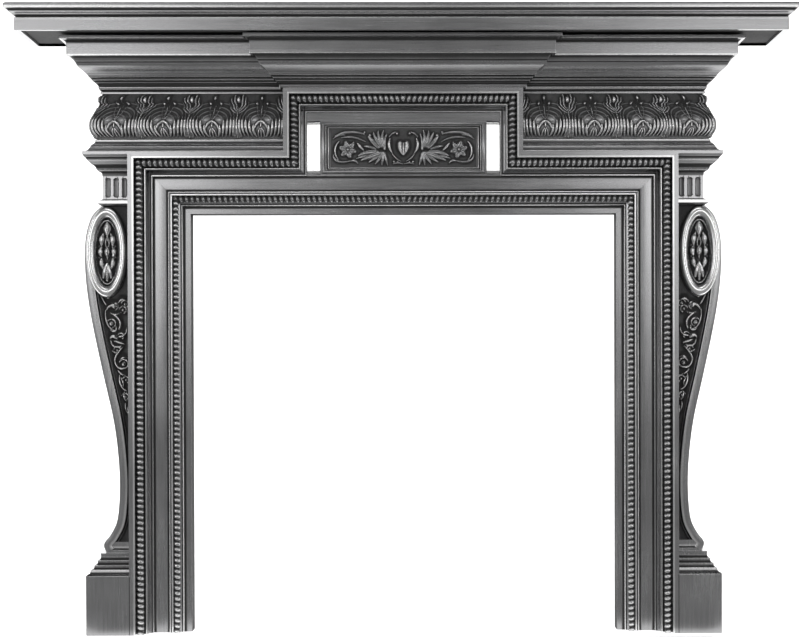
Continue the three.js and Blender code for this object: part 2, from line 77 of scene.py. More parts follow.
LAP = 2.0  # how far one member runs into the next
EDGE_STRIP = 1.5  # strip of a closing face along its edge, across which its painted shade sets in
BACK_STRIP = 1.0  # strip of a side face beside the back, across which the painted shade of the back sets in
INSET = 0.8  # how far the back of one member lies inside the back of the next
SPINE = 33  # points along the middle of a leaf
VEIN_WIDTH = 0.22  # half width of a leaf's groove, as a share of the leaf's
OUTSIDE = -99.0  # height of a shape beyond its outline
GRADES = ((2, 2.2), (7, 6.0))  # cells round a place, and the rise over their mean that counts as one
GRADE_SHARE, CARVING_SHADE = 0.55, 0.12  # painted highlight of each such rise, and painted shade taken off all carving
PLAIN = 3.0  # height from which carving gets a painted highlight


def in_frame(points: Array) -> Array:
    """Turns elevation points in millimetres into the frame's metres, with the wall behind them."""
    x, y, z = np.moveaxis(points, -1, 0)
    return np.stack([x * MM, WALL - z * MM, y * MM], -1)


def elevation(x: Array, y: Array, z: Array) -> Array:
    """Stacks three arrays that broadcast together into one array of points."""
    return np.stack(np.broadcast_arrays(x, y, z), -1).astype(float)


@dataclass(frozen=True)
class Member:
    """One member of a moulding: its width, and how far it stands out at its first and last edge."""

    width: float
    start: float
    end: float
    bow: float = 0.0
    wave: float = 0.0

    def points(self, level: float) -> Array:
        """Samples the member from a level: a straight line plus bow half sines and wave whole sines.

        Args:
            level: where the member starts.

        Returns:
            Points of (level, distance out).
        """
        share = np.linspace(0, 1, BOWED_POINTS if self.bow or self.wave else 2)
        swell = self.bow * np.sin(math.pi * share) + self.wave * np.sin(2 * math.pi * share)
        out = self.start + (self.end - self.start) * share + swell
        return np.stack([level + self.width * share, out], 1)


def total(members: Sequence[Member]) -> float:
    """Adds up the widths of members."""
    return sum(member.width for member in members)


def run_of(members: Sequence[Member], level: float = 0.0, radius: float = ARRIS) -> Array:
    """Joins members into one profile with eased edges and points at least every STEP.

    Args:
        members: the members in order.
        level: where the first one starts.
        radius: how far an edge is rounded.

    Returns:
        Points of (level, distance out), in order.
    """
    levels = level + np.cumsum([0.0] + [member.width for member in members])
    return filled(eased(np.concatenate([m.points(y) for m, y in zip(members, levels)]), radius))


def distinct(points: Array) -> Array:
    """Drops each point that lies on the one before it."""
    steps = np.linalg.norm(np.diff(points, axis=0), axis=1)
    return points[np.concatenate([[True], steps > 1e-4])]


def eased(points: Array, radius: float) -> Array:
    """Rounds the edges of a profile.

    Each corner p between unit directions a and b becomes five points: two before it on the straight,
    the middle of the arc, p + (b - a) * radius / 4, and two after it. The outer two keep the flats
    flat. A gentle bend stays one point.

    Args:
        points: the profile, as (n, 2).
        radius: how far from the corner the rounding starts, where the straights leave room.

    Returns:
        The rounded profile.
    """
    points = distinct(points)
    legs = np.diff(points, axis=0)
    sizes = np.linalg.norm(legs, axis=1)[:, None]
    ways = legs / sizes
    inner, into, away = points[1:-1], ways[:-1], ways[1:]
    turn = np.arccos(np.clip((into * away).sum(1), -1, 1))
    sharp = turn > CORNER
    room = np.minimum(sizes[:-1], sizes[1:]) * EASE_SHARE
    ease = np.minimum(radius, room)
    before = np.minimum(ease + HOLD, sizes[:-1] * HOLD_SHARE)
    after = np.minimum(ease + HOLD, sizes[1:] * HOLD_SHARE)
    arc = inner + (away - into) * ease / 4
    middle = np.where(sharp[:, None], arc, inner)
    five = np.stack(
        [inner - into * before, inner - into * ease, middle, inner + away * ease, inner + away * after], 1
    )
    keep = np.zeros(five.shape[:2], bool)
    keep[:, 2] = True
    keep[sharp] = True
    return distinct(np.concatenate([points[:1], five[keep], points[-1:]]))


def filled(points: Array, step: float = STEP) -> Array:
    """Adds points along a polyline so that none lies more than a step from the next.

    Args:
        points: the polyline, as (n, 2).
        step: the longest way between two points.

    Returns:
        The polyline with its added points.
    """
    reach = np.concatenate([[0.0], np.cumsum(np.linalg.norm(np.diff(points, axis=0), axis=1))])
    places = np.union1d(reach, np.linspace(0, reach[-1], int(reach[-1] / step) + 2))
    return distinct(np.stack([np.interp(places, reach, points[:, i]) for i in (0, 1)], 1))


def exposure(run: Array, radius: float = SIGHT) -> Array:
    """Says how open each point of a profile lies, from -1 in a groove to 1 on a knife edge; it paints shade
    in grooves and a highlight on edges.

    Over the points within the radius, the steepest sight line is found on each side. The exposure is
    minus the sum of those two angles over half a turn, plus a share of how far the point bulges past
    the chord of the profile round it.

    Args:
        run: the profile, as (n, 2), with its second column pointing outwards.
        radius: how far a point looks.

    Returns:
        One value for each point.
    """
    gap = run[None] - run[:, None]
    angle = np.arctan2(gap[..., 1], np.abs(gap[..., 0]) + 1e-6)
    order = np.arange(len(run))
    near = np.hypot(gap[..., 0], gap[..., 1]) < radius
    sides = [near & (order[None] < order[:, None]), near & (order[None] > order[:, None])]
    steepest = [np.where(side, angle, -np.inf).max(1) for side in sides]
    reach = np.concatenate([[0.0], np.cumsum(np.linalg.norm(np.diff(run, axis=0), axis=1))])
    ends = [
        np.stack([np.interp(reach + way * CHORD, reach, run[:, i]) for i in (0, 1)], 1) for way in (-1, 1)
    ]
    chord = ends[1] - ends[0]
    outward = np.stack([-chord[:, 1], chord[:, 0]], 1) / (np.linalg.norm(chord, axis=1)[:, None] + 1e-6)
    bulge = ((run - (ends[0] + ends[1]) / 2) * outward).sum(1)
    inside = (reach > CHORD) & (reach < reach[-1] - CHORD)
    return BULGE * bulge * inside - sum(np.where(np.isinf(s), 0.0, s) for s in steepest) / math.pi


def blurred(values: Array, reach: int) -> Array:
    """Averages a grid over a square window, by differences of its running sums.

    Args:
        values: the grid.
        reach: half the window, in cells.

    Returns:
        The averaged grid.
    """
    for axis in (0, 1):
        pad = [(reach + 1, reach) if i == axis else (0, 0) for i in (0, 1)]
        sums = np.cumsum(np.pad(values, pad, mode="edge"), axis=axis)
        width = 2 * reach + 1
        count = sums.shape[axis]
        high, low = np.arange(width, count), np.arange(count - width)
        values = (np.take(sums, high, axis) - np.take(sums, low, axis)) / width
    return values


def spread_of(curve: Sequence[tuple[float, float]], count: int = SPINE) -> Array:
    """Samples the Bezier curve of some control points.

    Args:
        curve: control points, each (x, y).
        count: how many points to sample.

    Returns:
        Points of sum over i of C(n, i) t^i (1 - t)^(n - i) times control point i.
    """
    share = np.linspace(0, 1, count)[:, None]
    degree = len(curve) - 1
    terms = [
        math.comb(degree, i) * share**i * (1 - share) ** (degree - i) * np.array(point, float)
        for i, point in enumerate(curve)
    ]
    return sum(terms)


def coil_of(centre: tuple[float, float], radii: tuple[float, float], turn: tuple[float, float]) -> Array:
    """Samples a spiral about a centre, from one radius and angle in degrees to another.

    Args:
        centre: its middle.
        radii: first and last radius.
        turn: first and last angle, in degrees.

    Returns:
        The points.
    """
    angle = np.radians(np.linspace(*turn, SPINE))
    radius = np.linspace(*radii, SPINE)
    return np.stack([centre[0] + radius * np.cos(angle), centre[1] + radius * np.sin(angle)], 1)


class Casting:
    """Collects closed surfaces in elevation and writes them as one piece of the object."""

    def __init__(self, name: str, soft_angle: float = CRISP) -> None:
        """Starts an empty piece; edges that turn by more than soft_angle degrees stay crisp.

        Args:
            name: the piece's name.
            soft_angle: the largest turn that is smoothed.
        """
        self.name = name
        self.soft_angle = soft_angle
        self.points: list[Array] = []
        self.light_and_wear: list[Array] = []
        self.quads: list[Array] = []
        self.caps: list[Array] = []

    def add(self, grid: Array, light_and_wear: Array | float = 0.0, ring: bool = False) -> None:
        """Adds a shell whose rows are closed loops.

        A face joins each cell of the grid. The first and last loops are capped, or joined to each
        other. A shell whose signed volume is negative is turned the right way out.

        Args:
            grid: points as (rows, columns, 3).
            light_and_wear: exposure of the points, which paints their shade and highlight, as (rows,
                columns) or one value.
            ring: whether the last row runs on into the first.
        """
        rows, columns = grid.shape[:2]
        ids = np.arange(rows * columns).reshape(rows, columns)
        here, ahead = (ids, np.roll(ids, -1, 0)) if ring else (ids[:-1], ids[1:])
        quads = np.stack([here, np.roll(here, -1, 1), np.roll(ahead, -1, 1), ahead], -1).reshape(-1, 4)
        caps = [] if ring else [ids[0][::-1], ids[-1]]
        flat = grid.reshape(-1, 3)
        a, b, c, d = (flat[quads[:, i]] for i in range(4))
        volume = (a * (np.cross(b, c) + np.cross(c, d))).sum()
        for cap in caps:
            volume += (flat[cap[0]] * np.cross(flat[cap[1:-1]], flat[cap[2:]]).sum(0)).sum()
        order = slice(None, None, -1 if volume < 0 else 1)
        start = sum(len(points) for points in self.points)
        self.quads.append(start + quads[:, order])
        self.caps += [start + cap[order] for cap in caps]
        self.points.append(flat)
        self.light_and_wear.append(np.broadcast_to(light_and_wear, (rows, columns)).ravel())

    def add_block(
        self,
        run: Array,
        edges: tuple[float, float],
        depth: float,
        sides: tuple[float, float] = (1, 1),
        recess: tuple[float, float] = (0, 0),
        light_and_wear: float = 0.0,
        back: float = 0.0,
    ) -> None:
        """Adds a block against the wall with a moulding round its front and its free sides.

        Each row is a rectangle in plan, one for each point of the profile, spread by how far that
        point stands out. Its two front corners are eased.

        Args:
            run: the profile, as points of (level, distance out).
            edges: left and right edge of the plain block.
            depth: its depth off the wall.
            sides: 1 for each side that carries the moulding, 0 for one that doesn't.
            recess: width of the rim round a sunk underside, and how far that is sunk.
            light_and_wear: painted light added to the exposure of the whole block; below zero it is painted
                shade.
            back: how far its back stays off the wall.
        """
        worn_and_lit = exposure(run) + light_and_wear
        if recess[1]:
            rim, sunk = recess
            level, out = run[0]
            run = np.concatenate([[[level + sunk, out - rim], [level, out - rim]], run])
            # the sunk underside gets painted shade and its rim a painted highlight
            worn_and_lit = np.concatenate([[SOFFIT, SOFFIT_RIM], worn_and_lit])
        level, out = run[:, :1], run[:, 1:]
        left, right = edges[0] - out * sides[0], edges[1] + out * sides[1]
        front = depth + out
        along = np.array([0, 0, 0, 0, ARRIS / 4, ARRIS, ARRIS + HOLD])
        shy = np.array([ARRIS + HOLD, ARRIS, ARRIS / 4, 0, 0])
        x = np.concatenate([left + along, right - along[::-1]], 1)
        near = front - shy
        rear = np.full_like(front, back)
        z = np.concatenate([rear, rear + BACK_STRIP, near, near[:, ::-1], rear + BACK_STRIP, rear], 1)
        # painted highlight at the front corners; painted shade on the back faces at both ends
        corner = np.zeros(x.shape[1])
        corner[[4, -5]] = CORNER_HIGHLIGHT
        shade = worn_and_lit[:, None] + corner
        shade[:, [0, -1]] = REVEAL
        self.add(elevation(x, level, z), shade)

    def add_path(
        self, route: Route, run: Array, ring: bool = False, back: float = 0.0, light_and_wear: Array | None = None
    ) -> None:
        """Adds a moulding carried along a mitred path.

        At each station the profile's points (offset, height) lie where the route puts that offset.

        Args:
            route: gives the stations of the path, as (stations, n, 2), at n offsets.
            run: the profile, as points of (offset, height).
            ring: whether the path is closed.
            back: height of the hidden underside.
            light_and_wear: exposure of the profile's points, where its neighbours count too; it paints
                their shade and highlight.
        """
        last, first = run[-1], run[0]
        loop = np.concatenate([
            run, [[last[0], last[1] - EDGE_STRIP], [last[0], back]],
            [[first[0], back], [first[0], first[1] - EDGE_STRIP]],
        ])
        places = route(loop[:, 0])
        # the four closing points get painted shade
        shade = np.concatenate([exposure(run) if light_and_wear is None else light_and_wear, np.full(4, REVEAL)])
        self.add(elevation(places[..., 0], places[..., 1], loop[:, 1]), shade, ring)

    def add_plate(self, x: Array, y: Array, z: Array, back: float, light_and_wear: Array) -> None:
        """Adds a carved plate: its face is z over a grid of x and y, and it is closed at a back.

        Args:
            x: places across.
            y: places up.
            z: the face's heights.
            back: height of the back.
            light_and_wear: exposure of the face, which paints its shade and highlight.
        """
        face = elevation(x, y, z)
        rear = face[:, [-1, 0]].copy()
        rear[..., 2] = back
        shade = np.concatenate([light_and_wear, np.zeros((len(light_and_wear), 2))], 1)
        self.add(np.concatenate([face, rear], 1), shade)

    def finish(self, nodes: Sequence[str], slot: str, material: bpy.types.Material) -> bpy.types.Object:
        """Writes the mesh, dresses it and hands it to the frame.

        Args:
            nodes: the solids that it stands for.
            slot: name of a material slot; not used.
            material: its finish.

        Returns:
            The object.
        """
        points = in_frame(np.concatenate(self.points))
        quads = np.concatenate(self.quads)
        corners = np.concatenate([quads.ravel(), *self.caps]).astype(np.int32)
        sizes = np.concatenate([np.full(len(quads), 4), [len(cap) for cap in self.caps]])
        starts = np.concatenate([[0], np.cumsum(sizes)[:-1]]).astype(np.int32)
        mesh = bpy.data.meshes.new(self.name)
        mesh.vertices.add(len(points))
        mesh.vertices.foreach_set("co", points.astype(np.float32).ravel())
        mesh.loops.add(len(corners))
        mesh.loops.foreach_set("vertex_index", corners)
        mesh.polygons.add(len(starts))
        mesh.polygons.foreach_set("loop_start", starts)
        mesh.update(calc_edges=True)
        mesh.validate()
        light_and_wear = mesh.attributes.new(LIGHT_AND_WEAR, "FLOAT", "POINT")
        light_and_wear.data.foreach_set("value", np.concatenate(self.light_and_wear).astype(np.float32))
        mesh.shade_smooth()
        mesh.set_sharp_from_angle(angle=math.radians(self.soft_angle))
        mesh.materials.append(material)
        piece = bpy.data.objects.new(self.name, mesh)
        bpy.context.scene.collection.objects.link(piece)
        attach(piece, "root")
        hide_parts(*nodes)
        LOG.info("%s: %d faces", self.name, len(sizes))
        return piece


@dataclass(frozen=True)
class Motif:
    """Carved shapes drawn about a middle line.

    A leaf has its control points, its half widths and its lift. A bud has its place, its half width
    and height, and its lift.
    """

    leaves: tuple[tuple[tuple[tuple[float, float], ...], tuple[float, ...], float], ...]
    buds: tuple[tuple[float, float, float, float, float], ...] = ()
    vein: float = 0.0
    sides: tuple[int, ...] = (-1, 1)


@dataclass(frozen=True)
class RubAndLight:
    """How carving is painted: the shade of its ground, and the highlight that its relief and its height
    give to its exposure, partly the rubbed polish of its high points.
    """

    ground: float
    low: float
    gain: float
    rise: float
    share: float = 1.0
    base: float = 0.0


class Relief:
    """Carving as heights over a grid of places; shapes are laid on it, and the highest one shows."""

    def __init__(self, x: Array, y: Array, ground: float = 0.0) -> None:
        """Starts with a level ground at the grid's places."""
        self.x, self.y = x, y
        self.height = np.full(x.shape, ground)

    def near(self, points: Array, margin: float) -> tuple[Array, ...]:
        """Finds the places within a margin of the box round some points.

        Args:
            points: the points.
            margin: how far round their box to look.

        Returns:
            Indices of the places.
        """
        low, high = points.min(0) - margin, points.max(0) + margin
        across = (self.x > low[0]) & (self.x < high[0])
        return np.nonzero(across & (self.y > low[1]) & (self.y < high[1]))

    def stroke(self, spine: Array, widths: Sequence[float], lift: float, vein: float = 0.0) -> None:
        """Lays a rounded leaf or stem along a spine.

        At distance d from the spine, where its half width is w, the height is
        lift * sqrt(1 - (d / w)^2), less a groove down the middle of depth vein * lift.

        Args:
            spine: points along the middle.
            widths: half widths at even steps along the spine.
            lift: height of the middle.
            vein: depth of the groove, as a share of the lift.
        """
        part = self.near(spine, max(widths))
        if not len(part[0]):
            return
        gap = np.hypot(self.x[part][:, None] - spine[:, 0], self.y[part][:, None] - spine[:, 1])
        share = gap.argmin(1) / (len(spine) - 1)
        width = np.interp(share, np.linspace(0, 1, len(widths)), widths) + 1e-6
        ratio = gap.min(1) / width
        round_top = np.sqrt(np.clip(1 - ratio**2, 0, None))
        groove = vein * np.exp(-((ratio / VEIN_WIDTH) ** 2))
        size = np.sqrt(np.clip(width / max(widths), 0, 1))
        height = np.where(ratio < 1, lift * size * (round_top - groove), OUTSIDE)
        self.height[part] = np.maximum(self.height[part], height)

    def bud(self, x: float, y: float, half_width: float, half_height: float, lift: float) -> None:
        """Lays a domed oval: lift * sqrt(1 - q), with q the squared distance in half sizes.

        Args:
            x: its middle, across.
            y: its middle, up.
            half_width: half its width.
            half_height: half its height.
            lift: height of its middle.
        """
        part = self.near(np.array([[x, y]]), max(half_width, half_height))
        q = ((self.x[part] - x) / half_width) ** 2 + ((self.y[part] - y) / half_height) ** 2
        height = np.where(q < 1, lift * np.sqrt(np.clip(1 - q, 0, None)), OUTSIDE)
        self.height[part] = np.maximum(self.height[part], height)

    def carve(self, motifs: Sequence[Motif], centre: float = 0.0) -> None:
        """Lays motifs on each of their sides of a centre.

        Args:
            motifs: the shapes to lay.
            centre: place of their middle line.
        """
        for motif in motifs:
            for side in motif.sides:
                for curve, widths, lift in motif.leaves:
                    spine = spread_of([(centre + side * x, y) for x, y in curve])
                    self.stroke(spine, widths, lift, motif.vein)
                for x, y, half_width, half_height, lift in motif.buds:
                    self.bud(centre + side * x, y, half_width, half_height, lift)

    def light_and_wear(self, rub_and_light: RubAndLight) -> Array:
        """Works out exposure, which paints shade and highlight on the carving.

        A place gets the more painted highlight the more it stands above the average round it, near and far.
        The ground, lower than rub_and_light.low, gets painted shade, and heights above PLAIN get more
        painted highlight.

        Args:
            rub_and_light: how the carving's painted shade and highlight are laid.

        Returns:
            One value for each place.
        """
        rises = sum((self.height - blurred(self.height, reach)) / rise for reach, rise in GRADES)
        worn_and_lit = rub_and_light.share * np.clip(GRADE_SHARE * rises - CARVING_SHADE, -1, 1) + rub_and_light.base
        worn_and_lit -= rub_and_light.ground * (self.height < rub_and_light.low)
        return worn_and_lit + rub_and_light.gain * np.clip(self.height - PLAIN, 0, rub_and_light.rise)


@dataclass(frozen=True)
class Rope:
    """A rope moulding in a channel of the architrave: two strands wound round a core.

    Its middle lies at an offset from the channel's first edge. Its exposure, a painted highlight on the
    strands with painted shade in the grooves and on the flanks, is strand_highlight times |sin(pi p)| of
    the strand phase p, less groove_shade, less up to flank_shade on its flanks.
    """

    channel: str
    offset: float
    radius: float
    height: float
    pitch: float = 11.75
    groove: float = 0.42
    twist: float = 0.24
    sides: int = 20
    steps: int = 8
    strand_highlight: float = 1.25
    groove_shade: float = 0.95
    flank_shade: float = 0.45

    def along(self, casting: Casting, route: Route, lean: float, light_and_wear: float = 0.0) -> None:
        """Carries the rope along a mitred path.

        After a way of n pitches along a stretch and at angle f round the rope, from its hidden back,
        the strand phase is p = n + lean * twist * f / pi, and the radius shrinks by
        groove * (1 - |sin(pi p)|). The lean changes sign from one stretch to the next, as in a
        mirror.

        Args:
            casting: the piece that gets the rope.
            route: gives the stations of the path at some offsets.
            lean: slant of the strands on the first stretch, as a multiple of the twist.
            light_and_wear: painted light added to the exposure of the whole rope; below zero it is painted
                shade.
        """
        middle = SIZES.start(self.channel) + self.offset
        turn = np.linspace(0, 2 * math.pi, self.sides, endpoint=False)
        angle = turn - math.pi / 2
        spine = route(np.full(self.sides, middle))
        edge = route(middle + self.radius * np.cos(angle))
        rows, shades = [], []
        for k in range(len(spine) - 1):
            length = np.linalg.norm(spine[k + 1, 0] - spine[k, 0])
            count = max(1, round(length / self.pitch))
            last = k == len(spine) - 2
            share = np.linspace(0, 1, count * self.steps + 1)[: None if last else -1, None]
            core = spine[k] + share[..., None] * (spine[k + 1] - spine[k])
            rim = edge[k] + share[..., None] * (edge[k + 1] - edge[k])
            travel = (rim - spine[k, 0]) @ (spine[k + 1, 0] - spine[k, 0]) / length
            phase = travel * count / length + lean * self.twist * turn / math.pi
            cord = np.abs(np.sin(math.pi * phase))
            swell = 1 - self.groove * (1 - cord)
            place = core + swell[..., None] * (rim - core)
            z = self.height + self.radius * swell * np.sin(angle)
            rows.append(elevation(place[..., 0], place[..., 1], z))
            # painted shade on the flanks and in the grooves, painted highlight on the strands
            flank = self.flank_shade * (1 - np.clip(np.sin(angle), 0, 1))
            shades.append(light_and_wear + self.strand_highlight * cord - self.groove_shade - flank)
            lean = -lean
        casting.add(np.concatenate(rows), np.concatenate(shades))


INNER_ROPE = Rope("inner_channel", 8.25, radius=7.0, height=77.0)
OUTER_ROPE = Rope("outer_channel", 9.5, radius=8.0, height=110.0)


@dataclass(frozen=True)
class Sizes:
    """The surround's driving sizes, and the levels and edges that follow from them."""

    opening_width: float = 914.0
    opening_height: float = 897.0
    architrave: tuple[tuple[str, Member], ...] = (
        ("inner_flat", Member(16, 56, 56)),
        ("bead", Member(5, 59.5, 59.5, bow=2.5)),
        ("inner_channel", Member(16.5, 62, 66)),
        ("riser", Member(3.4, 80, 80)),
        ("groove", Member(1.8, 72, 72)),
        ("riser_lip", Member(3.8, 76, 75)),
        ("band", Member(33, 68, 68, bow=0.5)),
        ("lower_step", Member(5, 75, 75)),
        ("cyma", Member(7, 79, 92, wave=-1.2)),
        ("upper_step", Member(3, 98, 98)),
        ("outer_channel", Member(19, 94, 98)),
        ("outer_fillet", Member(12.9, 122.5, 122.5)),
    )
    core_reach: float = 57.6
    core_depth: float = 84.0
    breakfront_depth: float = 118.0
    head_lap: float = 4.0
    tablet_half_width: float = 254.3
    tablet_rise: float = 136.0
    tablet_body: float = 60.0
    base: tuple[Member, ...] = (
        Member(6.5, 38, 38),
        Member(8, 33, 25, bow=-1.6),
        Member(12, 24, 14, bow=2.0),
        Member(6, 14, 14),
        Member(1.5, 11, 11),
    )
    frieze_height: float = 97.0
    bulges: tuple[float, ...] = (12, 21.5, 20.9, 10.9, 2.3, 0)
    cornice: tuple[Member, ...] = (
        Member(4.5, 4, 4),
        Member(4, 1.5, 1.5),
        Member(9, 6, 6, bow=1.6),
        Member(4, 9, 9),
        Member(5, 13.8, 13.8, bow=1.2),
        Member(6, 19.4, 19.4, bow=1.2),
        Member(30, 25, 49, bow=2.2, wave=-2.4),
        Member(10, 51, 57, bow=-1.5),
        Member(32, 66, 66),
        Member(2, 68, 76),
        Member(7, 79, 79),
    )
    shelf_inset: float = 71.0
    shelf_projection: float = 250.0
    shelf: tuple[Member, ...] = (
        Member(26.5, 19, 19),
        Member(5, 22, 22),
        Member(5, 16, 9, bow=1.2),
        Member(5, 9, 9),
        Member(1.5, 6, 6),
        Member(9.5, 0, 0),
        Member(2.5, 0, 4),
    )
    plinth_height: float = 125.0
    plinth_reach: float = 91.5
    foot: tuple[Member, ...] = (
        Member(6, 35, 27, bow=1.5),
        Member(8, 27, 25),
        Member(9, 20, 20, bow=-1.0),
        Member(10, 14, 14, bow=-1.5),
        Member(14, 8, 8, bow=-1.5),
    )
    abacus: tuple[Member, ...] = (
        Member(3, 4, 8),
        Member(8, 10, 10),
        Member(3, 6, 2),
    )
    neck_height: float = 49.0
    cap: tuple[Member, ...] = (
        Member(10, 1, 3, bow=-0.6),
        Member(9, 9, 13, bow=1.0),
        Member(5, 14, 20, bow=-1.0),
        Member(14, 21, 31, bow=2.0, wave=-0.8),
        Member(5.5, 34, 38),
    )

    def start(self, name: str) -> float:
        """Where an architrave member starts, measured from the opening."""
        names = [key for key, _ in self.architrave]
        return total([member for _, member in self.architrave[: names.index(name)]])

    def members(self, first: str, last: str) -> tuple[Member, ...]:
        """The architrave members from one to another."""
        names = [key for key, _ in self.architrave]
        return tuple(member for _, member in self.architrave[names.index(first) : names.index(last) + 1])

    @property
    def half_opening(self) -> float:
        """Half the width of the opening."""
        return self.opening_width / 2

    @property
    def architrave_width(self) -> float:
        """Width of the whole architrave."""
        return total([member for _, member in self.architrave])

    @property
    def architrave_edge(self) -> float:
        """Outer edge of the architrave's uprights."""
        return self.half_opening + self.architrave_width

    @property
    def wing_edge(self) -> float:
        """Outer edge of the leg blocks and of the header's wings."""
        return self.architrave_edge + self.core_reach

    @property
    def head_top(self) -> float:
        """Top of the architrave's head."""
        return self.opening_height + self.architrave_width

    @property
    def header_base(self) -> float:
        """Underside of the header's base moulding."""
        return self.head_top - self.head_lap

    @property
    def frieze_base(self) -> float:
        """Lower edge of the carved frieze."""
        return self.header_base + total(self.base)

    @property
    def cornice_base(self) -> float:
        """Lower edge of the cornice."""
        return self.frieze_base + self.frieze_height

    @property
    def header_top(self) -> float:
        """Top of the header."""
        return self.cornice_base + total(self.cornice)

    @property
    def cap_top(self) -> float:
        """Top of a leg's cap, a joint below the header."""
        return self.header_base - JOINT_GAP

    @property
    def neck_top(self) -> float:
        """Top of the fluted neck."""
        return self.cap_top - total(self.cap)

    @property
    def neck_base(self) -> float:
        """Foot of the fluted neck."""
        return self.neck_top - self.neck_height

    @property
    def scroll_top(self) -> float:
        """Top of the scroll console."""
        return self.neck_base - total(self.abacus)

    @property
    def scroll_base(self) -> float:
        """Foot of the scroll console."""
        return self.plinth_height + total(self.foot)

    @property
    def scroll_height(self) -> float:
        """Height of the scroll console."""
        return self.scroll_top - self.scroll_base


SIZES = Sizes()


class Side(Enum):
    """Which side of the opening a part stands on."""

    LEFT = -1
    RIGHT = 1

    def block(self, near: float, far: float) -> tuple[tuple[float, float], tuple[int, int]]:
        """Edges of a block between two distances from the middle, and which of its sides are free."""
        return ((-far, -near), (1, 0)) if self is Side.LEFT else ((near, far), (0, 1))


class Grain(Enum):
    """Which way a face was polished, as stretches of the pattern along x, y and z."""

    ALONG = (3.0, 90.0, 90.0)
    UPRIGHT = (90.0, 90.0, 3.0)


class Wire:
    """A socket of a shader, with arithmetic that adds its nodes."""

    def __init__(self, shader: "Shader", socket: bpy.types.NodeSocket) -> None:
        """Wraps a socket."""
        self.shader, self.socket = shader, socket

    def __add__(self, other: "Wire | float") -> "Wire":
        """Adds."""
        return self.shader.maths("ADD", self, other)

    __radd__ = __add__

    def __mul__(self, other: "Wire | float") -> "Wire":
        """Multiplies."""
        return self.shader.maths("MULTIPLY", self, other)

    __rmul__ = __mul__

    def __sub__(self, other: "Wire | float") -> "Wire":
        """Takes away."""
        return self.shader.maths("SUBTRACT", self, other)

    def __rsub__(self, other: float) -> "Wire":
        """Takes this away from a number."""
        return self.shader.maths("SUBTRACT", other, self)


class Shader:
    """Builds the node tree of one material."""

    def __init__(self, name: str) -> None:
        """Starts a material that holds only its output.

        Args:
            name: the material's name.
        """
        self.material = bpy.data.materials.new(name)
        self.material.use_nodes = True
        self.tree = self.material.node_tree
        self.tree.nodes.clear()

    def node(self, kind: str, settings: dict[str, Any] | None = None, **sockets: Any) -> bpy.types.Node:
        """Adds a node.

        Args:
            kind: its type.
            settings: its properties.
            sockets: values or wires by socket name, with _ for a blank, or in_N for socket number N.

        Returns:
            The node.
        """
        made = self.tree.nodes.new(kind)
        for key, value in (settings or {}).items():
            setattr(made, key, value)
        for key, value in sockets.items():
            socket = made.inputs[int(key[3:]) if key.startswith("in_") else key.replace("_", " ")]
            if isinstance(value, Wire):
                self.tree.links.new(value.socket, socket)
            else:
                socket.default_value = value
        return made

    def wire(self, node: bpy.types.Node, output: str | int = 0) -> Wire:
        """Wraps an output of a node."""
        return Wire(self, node.outputs[output])

    def maths(self, operation: str, one: Wire | float, two: Wire | float) -> Wire:
        """Adds a Math node."""
        return self.wire(self.node("ShaderNodeMath", {"operation": operation}, in_0=one, in_1=two))

    def step(self, value: Wire, low: float, high: float) -> Wire:
        """Rises smoothly from 0 to 1 between two values."""
        settings = {"interpolation_type": "SMOOTHSTEP"}
        return self.wire(self.node("ShaderNodeMapRange", settings, in_0=value, in_1=low, in_2=high))

    def noise(self, place: Wire, scale: float, detail: float, roughness: float) -> Wire:
        """Adds a noise pattern with values about one half."""
        settings = {"Vector": place, "Scale": scale, "Detail": detail, "Roughness": roughness}
        return self.wire(self.node("ShaderNodeTexNoise", None, **settings))

    def grey(self, level: Wire) -> Wire:
        """Turns a value into a grey."""
        return self.wire(self.node("ShaderNodeCombineColor", None, in_0=level, in_1=level, in_2=level))

    def tint(self, one: Wire | Sequence[float], two: Wire | Sequence[float]) -> Wire:
        """Multiplies two colours."""
        settings = {"data_type": "RGBA", "blend_type": "MULTIPLY"}
        return self.wire(self.node("ShaderNodeMix", settings, in_0=1.0, in_6=one, in_7=two), 2)

    def mix(self, share: Wire, one: Wire | Sequence[float], two: Wire | Sequence[float]) -> Wire:
        """Mixes two colours."""
        made = self.node("ShaderNodeMix", {"data_type": "RGBA"}, in_0=share, in_6=one, in_7=two)
        return self.wire(made, 2)


